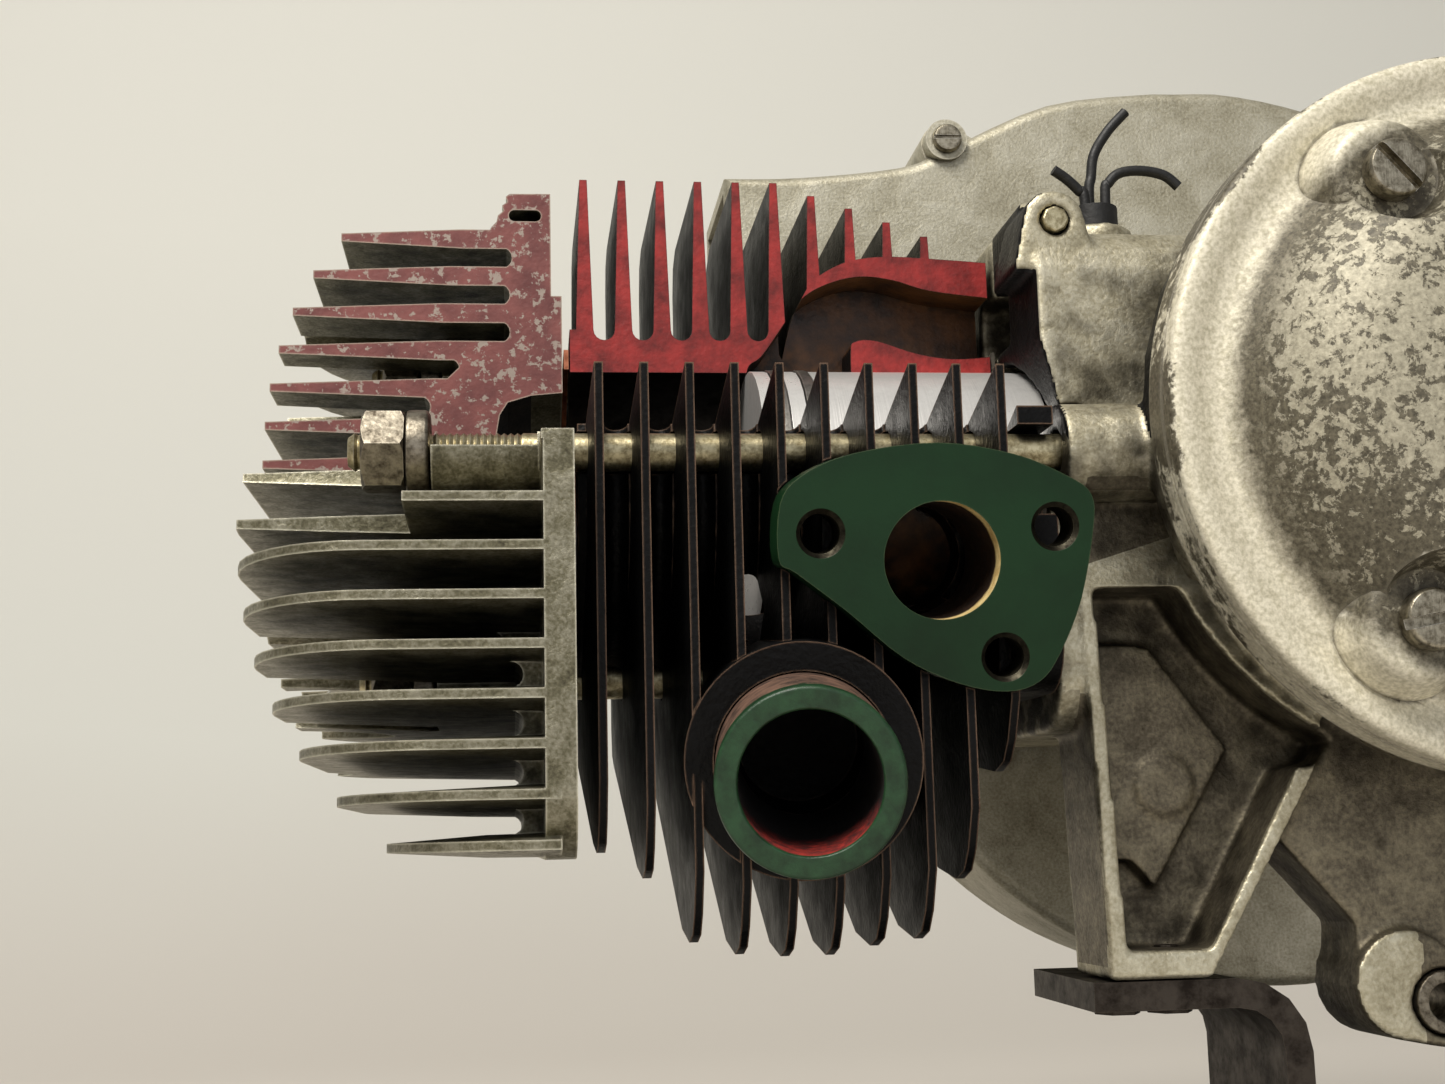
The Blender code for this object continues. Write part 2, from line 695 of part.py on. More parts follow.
def fin_outline(index):
    top = FIN_REACH_UP * FIN_TOP_SHARES[index]
    drop = FIN_REACH_DOWN * FIN_DROP_SHARES[index]
    wide = FIN_HALF_WIDTH
    corner = FIN_CORNER
    back = min(FIN_BACK_DROP, drop - corner)
    return [
        (-wide, top - corner), (-wide + corner * 0.6, top), (wide - corner, top), (wide, top - corner),
        (wide, -back + corner), (wide - corner, -back), (-wide * 0.50, -drop + corner * 0.20),
        (-wide * 0.75, -drop), (-wide * 0.93, -drop + corner * 0.6), (-wide, -drop + corner * 1.4),
    ]


def fin_shape(index):
    middle = FIRST_FIN + FIN_PITCH * index
    outline = fin_outline(index)
    top = max(up for across, up in outline) * FIN_ROOT_SHARE
    low = min(up for across, up in outline) * FIN_ROOT_SHARE
    half = FIN_HALF_WIDTH * FIN_ROOT_SHARE
    points = []
    for side in (-1, 1):
        for across, up in outline:
            points.append((middle + side * FIN_TIP / 2, across, up))
        for across, up in ((-half, low), (-half, top), (half, top), (half, low)):
            points.append((middle + side * FIN_ROOT / 2, across, up))
    return hull_shape(points)


def transfer_points(shares):
    return [(CYLINDER_LENGTH * along, TRANSFER_TOP * up) for along, up in shares]


def flange_outline(grow=0.0):
    points = []
    for across, up in FLANGE_OUTLINE_SHARES:
        points.append((
            across * (FLANGE_HALF_WIDTH + grow) + FLANGE_SHIFT_X,
            up * (FLANGE_HALF_HEIGHT + grow) + FLANGE_SHIFT_Z,
        ))
    return points


def flange_plate(near, far, grow=0.0):
    shape = plate_shape(flange_outline(grow), "Y", near, far)
    shape.transform(Matrix.Translation(INLET_START) @ Matrix.Rotation(PORT_TILT, 4, "X"))
    return shape


def build_cylinder(iron):
    body = rod_shape((0, 0, 0), (CYLINDER_LENGTH, 0, 0), BARREL_RADIUS, ROUND_MEDIUM)
    cylinder = add_part("cylinder", body, iron)
    fins = [fin_shape(index) for index in range(FIN_COUNT)]
    add_to(cylinder, joined(*fins))
    roof = transfer_points(TRANSFER_ROOF_SHARES) + [(CYLINDER_LENGTH, 0)] + [(CYLINDER_LENGTH / 2, 0)]
    side = TRANSFER_HALF_WIDTH + TRANSFER_WALL
    add_to(cylinder, plate_shape(roof, "Y", -side, side))
    base = rounded_box((-BASE_HALF, -BASE_HALF), (BASE_HALF, BASE_HALF), BASE_CORNER)
    add_to(cylinder, plate_shape(base, "X", CYLINDER_LENGTH - BASE_FLANGE, CYLINDER_LENGTH))
    boss = EXHAUST_RADIUS + EXHAUST_WALL + EXHAUST_BOSS_WALL
    add_to(cylinder, port_rod(EXHAUST_START, EXHAUST_BOSS_START, EXHAUST_BOSS_END, boss, ROUND_MEDIUM))
    cut_from(cylinder, rod_shape((-OVERRUN, 0, 0), (CYLINDER_LENGTH + OVERRUN, 0, 0), BORE_RADIUS, ROUND_LARGE))
    cut_from(cylinder, quarter_cut())
    passage = transfer_points(PASSAGE_ROOF_SHARES) + transfer_points(PASSAGE_FLOOR_SHARES)
    passage = [(x + (OVERRUN if x > CYLINDER_LENGTH - GAP else 0), z) for x, z in passage]
    cut_from(cylinder, plate_shape(passage, "Y", -side - OVERRUN, TRANSFER_HALF_WIDTH))
    cut_from(cylinder, flange_plate(-OVERRUN, FLANGE_THICK + GAP, GAP))
    neck = INLET_RADIUS + INLET_NECK_WALL + GAP
    cut_from(cylinder, port_rod(INLET_START, 0, INLET_NECK_REACH + GAP, neck, ROUND_MEDIUM))
    cut_from(cylinder, port_rod(INLET_START, 0, INLET_PORT_REACH, INLET_RADIUS, ROUND_MEDIUM))
    stub = EXHAUST_RADIUS + EXHAUST_WALL + GAP
    cut_from(cylinder, port_rod(EXHAUST_START, 0, EXHAUST_LENGTH + GAP, stub, ROUND_MEDIUM))
    cut_from(cylinder, port_rod(EXHAUST_START, 0, EXHAUST_DUCT_REACH, EXHAUST_RADIUS, ROUND_MEDIUM))
    reach = Vector((0, math.cos(EXHAUST_PORT_TURN), math.sin(EXHAUST_PORT_TURN))) * EXHAUST_PORT_REACH
    middle = Vector((EXHAUST_X, 0, 0))
    cut_from(cylinder, rod_shape(middle, middle + reach, EXHAUST_PORT_RADIUS, ROUND_SMALL))
    holes = stud_holes(-OVERRUN, CYLINDER_LENGTH + OVERRUN, STUD_RADIUS + STUD_HOLE_CLEARANCE)
    cut_from(cylinder, holes)
    return cylinder


def build_ports(green, tube):
    flange = add_part("inlet_flange", flange_plate(0, FLANGE_THICK), green)
    neck = INLET_RADIUS + INLET_NECK_WALL
    add_to(flange, port_rod(INLET_START, FLANGE_THICK / 2, INLET_NECK_REACH, neck, ROUND_MEDIUM))
    cut_from(flange, port_rod(INLET_START, -OVERRUN, INLET_NECK_REACH + OVERRUN, INLET_RADIUS, ROUND_MEDIUM))
    for across, up in FLANGE_BOLTS:
        place = Matrix.Rotation(PORT_TILT, 4, "X") @ Vector((across, 0, up)) + INLET_START
        cut_from(flange, port_rod(place, -OVERRUN, OVERRUN, FLANGE_BOLT_RADIUS, ROUND_SMALL))
    cut_from(flange, rod_shape((0, 0, 0), (CYLINDER_LENGTH, 0, 0), BARREL_RADIUS - BARREL_WALL / 2, ROUND_LARGE))
    outer = EXHAUST_RADIUS + EXHAUST_WALL
    profile = ((EXHAUST_RADIUS, 0), (outer, 0), (outer, EXHAUST_LENGTH), (EXHAUST_RADIUS, EXHAUST_LENGTH))
    add_part("exhaust_stub", turned_shape(profile, EXHAUST_START, EXHAUST_DIRECTION, ROUND_MEDIUM), tube)


# Cylinder head

def head_fin_heights():
    upper = [HEAD_FIN_TOP - HEAD_FIN_UPPER_PITCH * index for index in range(HEAD_FIN_UPPER_COUNT)]
    lower = [HEAD_FIN_LOWER_TOP - HEAD_FIN_LOWER_PITCH * index for index in range(HEAD_FIN_LOWER_COUNT)]
    return upper + lower


def head_fin_shape(middle):
    far = abs(middle) / HEAD_FIN_SHORTENING_AT
    reach = HEAD_FIN_REACH - HEAD_FIN_SHORTENING * far ** HEAD_FIN_SHORTENING_POWER
    start = HEAD_FACE + HEAD_PLATE / 2
    wide = HEAD_HALF_WIDTH
    points = []
    for side in (-1, 1):
        rim = middle + side * HEAD_FIN_TIP / 2
        root = middle + side * HEAD_FIN_ROOT / 2
        for face in (-1, 1):
            points.append((-start, face * wide, rim))
            for turn in (0, 30, 60, 90):
                slope = math.radians(turn)
                out = reach - HEAD_FIN_CORNER_X + HEAD_FIN_CORNER_X * math.sin(slope)
                across = wide - HEAD_FIN_CORNER_Y + HEAD_FIN_CORNER_Y * math.cos(slope)
                points.append((-out, face * across, rim))
            points.append((-start, face * wide * HEAD_FIN_ROOT_SHARE * 2, root))
            points.append((-start - (reach - start) * HEAD_FIN_ROOT_SHARE, face * wide * HEAD_FIN_ROOT_SHARE, root))
    return hull_shape(points)


def plug_line(along):
    out = math.sin(PLUG_TURN)
    direction = Vector((-math.cos(PLUG_TURN), out * math.cos(PLUG_DROP_TURN), out * math.sin(PLUG_DROP_TURN)))
    return Vector((PLUG_X, PLUG_Y, PLUG_Z)) + direction * along


def build_head(alloy, steel, copper):
    outline = rounded_box((-HEAD_HALF_WIDTH, -HEAD_DOWN), (HEAD_HALF_WIDTH, HEAD_UP), HEAD_CORNER)
    head = add_part("cylinder_head", plate_shape(outline, "X", -HEAD_FACE - HEAD_PLATE, -HEAD_FACE), alloy)
    fins = [head_fin_shape(height) for height in head_fin_heights()]
    add_to(head, joined(*fins))
    plate = -HEAD_FACE - HEAD_PLATE
    low = (-CUT_REACH, -CUT_REACH, -HEAD_CUT_FRONT_DROP)
    cut_from(head, box_shape(low, (plate - GAP, -HEAD_CUT_FRONT, CUT_REACH)))
    core = [(CORE_RADIUS * r, CORE_DEPTH * d) for r, d in CORE_SHARES]
    core = [(0, core[0][1])] + core
    add_to(head, turned_shape(core, (-HEAD_FACE, 0, 0), (-1, 0, 0), ROUND_MEDIUM))
    low = (-HEAD_FACE - HEAD_STEP - HEAD_LUG_THICK, HEAD_LUG_START, HEAD_UP - HEAD_LUG_HEIGHT)
    add_to(head, box_shape(low, (-HEAD_FACE - HEAD_STEP, HEAD_LUG_END, HEAD_UP)))
    bosses = []
    for index in range(len(STUD_TURNS)):
        place = stud_place(index)
        near = place - Vector((HEAD_FACE + HEAD_PLATE / 2, 0, 0))
        far = place - Vector((HEAD_BOSS_REACH + WASHER_THICK, 0, 0))
        bosses.append(rod_shape(near, far, HEAD_BOSS_RADIUS, ROUND_SMALL))
    add_to(head, joined(*bosses))
    boss_end = plug_line(PLUG_SEAT + PLUG_HEX_HEIGHT / 2)
    add_to(head, rod_shape(plug_line(GAP), boss_end, PLUG_BOSS_RADIUS, ROUND_MEDIUM))
    low = (-HEAD_FACE - HEAD_STEP, -CUT_REACH, HEAD_STEP_RISE)
    cut_from(head, box_shape(low, (OVERRUN, CUT_REACH, CUT_REACH)))
    chamber = [(0, -OVERRUN), (CHAMBER_RADIUS, -OVERRUN)]
    chamber += [(CHAMBER_RADIUS * r, CHAMBER_DEPTH * d) for r, d in CHAMBER_SHARES]
    cut_from(head, turned_shape(chamber, (-HEAD_FACE, 0, 0), (-1, 0, 0), ROUND_LARGE))
    pockets = []
    for index in range(len(STUD_TURNS)):
        place = stud_place(index)
        far = place - Vector((CUT_REACH, 0, 0))
        pockets.append(rod_shape(place - Vector((HEAD_BOSS_REACH, 0, 0)), far, NUT_POCKET_RADIUS, ROUND_SMALL))
    cut_from(head, joined(*pockets))
    cut_from(head, stud_holes(-CUT_REACH, OVERRUN, STUD_RADIUS + STUD_HOLE_CLEARANCE))
    cut_from(head, rod_shape(plug_line(-PLUG_SEAT), plug_line(CUT_REACH), PLUG_THREAD_RADIUS + GAP, ROUND_SMALL))
    cut_from(head, rod_shape(plug_line(PLUG_SEAT), plug_line(CUT_REACH), PLUG_POCKET_RADIUS, ROUND_MEDIUM))
    rim = -HEAD_HALF_WIDTH + HEAD_CUT_RIM_BAND
    slice_outline = [
        (0, CUT_REACH), (-CUT_REACH, CUT_REACH), (-CUT_REACH, HEAD_CUT_RIM_RISE), (-HEAD_HALF_WIDTH, HEAD_CUT_RIM_RISE),
        (rim, HEAD_CUT_RISE), (0, HEAD_CUT_RISE),
    ]
    cut_from(head, plate_shape(slice_outline, "X", -CUT_REACH, OVERRUN))
    cut_from(head, box_shape((-CUT_REACH, -CUT_REACH, -NUT_CUT_DROP), (-NUT_CUT_START, -NUT_CUT_FRONT, CUT_REACH)))
    inner = BORE_RADIUS + GASKET_BORE_STEP
    profile = ((inner, 0), (GASKET_RADIUS, 0), (GASKET_RADIUS, GASKET_THICK), (inner, GASKET_THICK))
    gasket = add_part("head_gasket", turned_shape(profile, (-GAP, 0, 0), (-1, 0, 0), ROUND_LARGE), copper)
    cut_from(gasket, quarter_cut())
    build_plug(steel)


def build_plug(steel):
    near = plug_line(PLUG_SEAT + GAP - PLUG_THREAD_LENGTH)
    seat = plug_line(PLUG_SEAT + GAP)
    shape = rod_shape(near, plug_line(PLUG_SEAT + PLUG_HEX_HEIGHT / 2), PLUG_THREAD_RADIUS, ROUND_SMALL)
    plug = add_part("spark_plug", shape, steel)
    hex_end = plug_line(PLUG_SEAT + GAP + PLUG_HEX_HEIGHT)
    add_to(plug, hexagon_shape(seat, hex_end, PLUG_HEX_FLATS))
    body_end = plug_line(PLUG_SEAT + PLUG_HEX_HEIGHT + PLUG_BODY_LENGTH)
    add_to(plug, rod_shape(plug_line(PLUG_SEAT + GAP * 2), body_end, PLUG_BODY_RADIUS, ROUND_SMALL))
    top = plug_line(PLUG_SEAT + PLUG_HEX_HEIGHT + PLUG_BODY_LENGTH + PLUG_TERMINAL_LENGTH)
    add_to(plug, rod_shape(plug_line(PLUG_SEAT + PLUG_HEX_HEIGHT), top, PLUG_TERMINAL_RADIUS, ROUND_TINY))


def build_studs(zinc):
    for index in range(len(STUD_TURNS)):
        place = stud_place(index)
        end = place + Vector((CASE_MOUTH + STUD_IN, 0, 0))
        stud = rod_shape(place - Vector((STUD_OUT, 0, 0)), end, STUD_RADIUS, ROUND_SMALL)
        add_part(f"stud_{index + 1}", stud, zinc)
        near = HEAD_BOSS_REACH + GAP
        hole = STUD_RADIUS + GAP
        profile = ((hole, 0), (WASHER_RADIUS, 0), (WASHER_RADIUS, WASHER_THICK), (hole, WASHER_THICK))
        washer = turned_shape(profile, place - Vector((near, 0, 0)), (-1, 0, 0), ROUND_SMALL)
        add_part(f"head_washer_{index + 1}", washer, zinc)
        near += WASHER_THICK + GAP
        far = near + NUT_HEIGHT
        nut_body = hexagon_shape(place - Vector((near, 0, 0)), place - Vector((far, 0, 0)), NUT_FLATS)
        nut = add_part(f"head_nut_{index + 1}", nut_body, zinc)
        cut_from(nut, rod_shape(place - Vector((far + OVERRUN, 0, 0)), place, hole, ROUND_SMALL))


# Piston and connecting rod

def along_y(x, z, near, far, radius, segments):
    return rod_shape((x, near, z), (x, far, z), radius, segments)


def build_piston(bright, steel):
    origin = (GUDGEON_X, 0, 0)
    inner = PISTON_RADIUS - PISTON_WALL
    groove = BORE_RADIUS - GAP - RING_DEPTH - GAP
    profile = [(0, 0), (PISTON_RADIUS, 0)]
    for place in RING_PLACES:
        near = place - RING_WIDTH / 2 - GAP
        far = place + RING_WIDTH / 2 + GAP
        profile += [(PISTON_RADIUS, near), (groove, near), (groove, far), (PISTON_RADIUS, far)]
    profile += [(PISTON_RADIUS, PISTON_LENGTH), (inner, PISTON_LENGTH), (inner, CROWN_THICK), (0, CROWN_THICK)]
    piston = add_part("piston", turned_shape(profile, (CROWN_X, 0, 0), (1, 0, 0), ROUND_LARGE), bright, origin)
    skin = math.sqrt(PISTON_RADIUS ** 2 - PIN_BOSS_RADIUS ** 2) - GAP
    bosses = []
    for side in (-1, 1):
        bosses.append(along_y(GUDGEON_X, 0, side * PIN_BOSS_INNER, side * skin, PIN_BOSS_RADIUS, ROUND_MEDIUM))
    add_to(piston, joined(*bosses))
    cut_from(piston, along_y(GUDGEON_X, 0, -CUT_REACH, CUT_REACH, PIN_RADIUS + GAP, ROUND_MEDIUM))
    clip_start = PIN_LENGTH / 2 + GAP
    clip_radius = PIN_RADIUS + CLIP_GRIP
    grooves = []
    for side in (-1, 1):
        near = side * (clip_start - GAP)
        far = side * (clip_start + CLIP_THICK + GAP)
        grooves.append(along_y(GUDGEON_X, 0, near, far, clip_radius + GAP, ROUND_MEDIUM))
    cut_from(piston, joined(*grooves))
    outer = BORE_RADIUS - GAP
    for index, place in enumerate(RING_PLACES):
        start = CROWN_X + place - RING_WIDTH / 2
        profile = ((outer - RING_DEPTH, 0), (outer, 0), (outer, RING_WIDTH), (outer - RING_DEPTH, RING_WIDTH))
        ring = turned_shape(profile, (start, 0, 0), (1, 0, 0), ROUND_LARGE)
        ring = add_part(f"piston_ring_{index + 1}", ring, steel, origin)
        low = (start - RING_WIDTH, 0, -RING_GAP / 2)
        cut_from(ring, box_shape(low, (start + RING_WIDTH * 2, CUT_REACH, RING_GAP / 2)))
    half = PIN_LENGTH / 2
    profile = (
        (PIN_BORE_RADIUS, -half), (PIN_RADIUS, -half), (PIN_RADIUS, half), (PIN_BORE_RADIUS, half),
    )
    add_part("gudgeon_pin", turned_shape(profile, origin, (0, 1, 0), ROUND_MEDIUM), steel, origin)
    for index, side in enumerate((-1, 1)):
        near = clip_start
        far = clip_start + CLIP_THICK
        band = clip_radius - CLIP_BAND
        profile = ((band, near), (clip_radius, near), (clip_radius, far), (band, far))
        clip = turned_shape(profile, origin, (0, side, 0), ROUND_MEDIUM)
        clip = add_part(f"pin_clip_{index + 1}", clip, steel, origin)
        low = (GUDGEON_X - RING_GAP, min(side * near, side * far) - GAP, 0)
        cut_from(clip, box_shape(low, (GUDGEON_X + RING_GAP, max(side * near, side * far) + GAP, CUT_REACH)))


def build_rod(steel):
    origin = Vector((GUDGEON_X, 0, 0))
    big = Vector((CRANK_PIN_X, 0, CRANK_PIN_Z))
    half = ROD_WIDTH / 2
    small_radius = PIN_RADIUS + GAP + SMALL_END_WALL
    big_bore = CRANK_PIN_RADIUS + BIG_END_CLEARANCE
    rod = add_part("connecting_rod", along_y(big.x, big.z, -half, half, big_bore + BIG_END_WALL, ROUND_LARGE), steel, origin)
    line = (big - origin).normalized()
    side = Vector((-line.z, 0, line.x))
    outline = []
    for place, width in ((origin, ROD_WAIST), (big, ROD_FOOT), (big, -ROD_FOOT), (origin, -ROD_WAIST)):
        corner = place + side * width / 2
        outline.append((corner.x, corner.z))
    shank = half * ROD_SHANK_SHARE
    add_to(rod, plate_shape(outline, "Y", -shank, shank))
    add_to(rod, along_y(origin.x, origin.z, -half, half, small_radius, ROUND_MEDIUM))
    cut_from(rod, along_y(origin.x, origin.z, -CUT_REACH, CUT_REACH, PIN_RADIUS + GAP, ROUND_MEDIUM))
    cut_from(rod, along_y(big.x, big.z, -CUT_REACH, CUT_REACH, big_bore, ROUND_LARGE))


# Crankshaft and what turns with it

def build_crankshaft(steel, grey):
    origin = (CRANK_X, 0, 0)
    for name, side, shoulder, end in (
        ("crank_half_front", -1, SHAFT_FRONT_SHOULDER, SHAFT_FRONT_END),
        ("crank_half_back", 1, SHAFT_BACK_SHOULDER, SHAFT_BACK_END),
    ):
        outer = WEB_INNER + WEB_THICK
        profile = (
            (0, WEB_INNER), (WEB_RADIUS, WEB_INNER), (WEB_RADIUS, outer), (SHAFT_RADIUS, outer),
            (SHAFT_RADIUS, shoulder), (SHAFT_NOSE_RADIUS, shoulder), (SHAFT_NOSE_RADIUS, end), (0, end),
        )
        half = add_part(name, turned_shape(profile, origin, (0, side, 0), ROUND_LARGE), steel, origin)
        near = side * (WEB_INNER - OVERRUN)
        far = side * (WEB_INNER + CRANK_PIN_BITE + GAP)
        cut_from(half, along_y(CRANK_PIN_X, CRANK_PIN_Z, near, far, CRANK_PIN_RADIUS + GAP, ROUND_MEDIUM))
    reach = WEB_INNER + CRANK_PIN_BITE
    pin = along_y(CRANK_PIN_X, CRANK_PIN_Z, -reach, reach, CRANK_PIN_RADIUS, ROUND_MEDIUM)
    add_part("crank_pin", pin, steel, origin)
    for name, side in (("bearing_front", -1), ("bearing_back", 1)):
        near = BEARING_START
        far = BEARING_START + BEARING_WIDTH
        bore = SHAFT_RADIUS + GAP
        profile = ((bore, near), (BEARING_RADIUS, near), (BEARING_RADIUS, far), (bore, far))
        add_part(name, turned_shape(profile, origin, (0, side, 0), ROUND_MEDIUM), steel, origin)
    bore = SHAFT_NOSE_RADIUS + GAP
    near = SHAFT_FRONT_SHOULDER + GAP
    floor = near + CLUTCH_WALL
    end = near + CLUTCH_LENGTH
    profile = (
        (bore, near), (CLUTCH_RADIUS, near), (CLUTCH_RADIUS, end), (CLUTCH_RADIUS - CLUTCH_WALL, end),
        (CLUTCH_RADIUS - CLUTCH_WALL, floor), (bore, floor),
    )
    add_part("clutch_drum", turned_shape(profile, origin, (0, -1, 0), ROUND_LARGE), steel, origin)
    near = -floor - GAP
    far = near - CLUTCH_NUT_HEIGHT
    nut = hexagon_shape((CRANK_X, near, 0), (CRANK_X, far, 0), CLUTCH_NUT_FLATS)
    nut = add_part("clutch_nut", nut, steel, origin)
    cut_from(nut, along_y(CRANK_X, 0, near + GAP, far - GAP, bore, ROUND_SMALL))
    build_flywheel(grey, steel)


def build_flywheel(grey, steel):
    origin = (CRANK_X, 0, 0)
    bore = SHAFT_NOSE_RADIUS + GAP
    disc_end = FLYWHEEL_START + FLYWHEEL_DISC
    profile = (
        (bore, HUB_START), (HUB_RADIUS, HUB_START), (HUB_RADIUS, FLYWHEEL_START), (FLYWHEEL_RADIUS, FLYWHEEL_START),
        (FLYWHEEL_RADIUS, disc_end), (HUB_RADIUS, disc_end), (HUB_RADIUS, HUB_END), (bore, HUB_END),
    )
    wheel = add_part("flywheel_fan", turned_shape(profile, origin, (0, 1, 0), ROUND_LARGE), grey, origin)
    blades = []
    for index in range(BLADE_COUNT):
        blade = box_shape(
            (BLADE_INNER, FLYWHEEL_START + FLYWHEEL_DISC / 2, -BLADE_THICK / 2),
            (FLYWHEEL_RADIUS - BLADE_THICK, disc_end + BLADE_HEIGHT, BLADE_THICK / 2),
        )
        middle = Vector(((BLADE_INNER + FLYWHEEL_RADIUS) / 2, 0, 0))
        blade.transform(Matrix.Translation(middle) @ Matrix.Rotation(BLADE_LEAN, 4, "Y") @ Matrix.Translation(-middle))
        turn = Matrix.Rotation(2 * math.pi * index / BLADE_COUNT, 4, "Y")
        blade.transform(Matrix.Translation(origin) @ turn)
        blades.append(blade)
    add_to(wheel, joined(*blades))
    near = HUB_END + GAP
    nut = hexagon_shape((CRANK_X, near, 0), (CRANK_X, near + FLYWHEEL_NUT_HEIGHT, 0), FLYWHEEL_NUT_FLATS)
    nut = add_part("flywheel_nut", nut, steel, origin)
    cut_from(nut, along_y(CRANK_X, 0, near - GAP, near + FLYWHEEL_NUT_HEIGHT + GAP, bore, ROUND_SMALL))


# Crankcase

def case_bores(case):
    """The room for the crank webs, piston, bearings and shaft, the same in both halves."""
    cut_from(case, along_y(CRANK_X, 0, -CHAMBER_HALF, CHAMBER_HALF, CASE_HOLLOW_RADIUS, ROUND_LARGE))
    bearing = BEARING_START + BEARING_WIDTH + GAP
    cut_from(case, along_y(CRANK_X, 0, -bearing, bearing, BEARING_RADIUS + GAP, ROUND_MEDIUM))
    cut_from(case, along_y(CRANK_X, 0, -CUT_REACH, CUT_REACH, SHAFT_RADIUS + SHAFT_HOLE_CLEARANCE, ROUND_MEDIUM))
    neck = BORE_RADIUS + NECK_BORE_CLEARANCE
    cut_from(case, rod_shape((CASE_MOUTH - OVERRUN, 0, 0), (CRANK_X, 0, 0), neck, ROUND_LARGE))
    low = (CASE_MOUTH - OVERRUN, -TRANSFER_HALF_WIDTH, CASE_PASSAGE_BOTTOM)
    high = (CASE_MOUTH + CASE_PASSAGE_LENGTH, TRANSFER_HALF_WIDTH, CASE_PASSAGE_TOP)
    cut_from(case, box_shape(low, high))
    holes = stud_holes(CASE_MOUTH - OVERRUN, CASE_MOUTH + TAPPED_DEPTH, STUD_RADIUS + GAP)
    cut_from(case, holes)


def strap_screw_places():
    middle = BRACKET_FOOT_X + BRACKET_FOOT_WIDTH / 2
    half = STRAP_SCREW_SPACING / 2
    return [(middle - half, STRAP_SCREW_Y), (middle + half, STRAP_SCREW_Y)]


def bracket_outline():
    return [
        (BRACKET_TOP_X, -BRACKET_TOP_DROP), (BRACKET_FOOT_X, -BRACKET_DROP),
        (BRACKET_FOOT_X + BRACKET_FOOT_WIDTH, -BRACKET_DROP), (BRACKET_ELBOW_X, -BRACKET_ELBOW_DROP),
        (BRACKET_SHOULDER_X, -BRACKET_TOP_DROP),
    ]


def bracket_pocket():
    left = BRACKET_TOP_X + BRACKET_RIB
    foot = BRACKET_FOOT_X + BRACKET_RIB
    floor = -BRACKET_DROP + BRACKET_FLOOR
    return [
        (left, -BRACKET_POCKET_TOP_DROP), (foot, floor), (foot + BRACKET_POCKET_FOOT_WIDTH, floor),
        (BRACKET_POCKET_ELBOW_X, -BRACKET_POCKET_ELBOW_DROP),
        (left + BRACKET_POCKET_TOP_WIDTH, -BRACKET_POCKET_TOP_DROP),
    ]


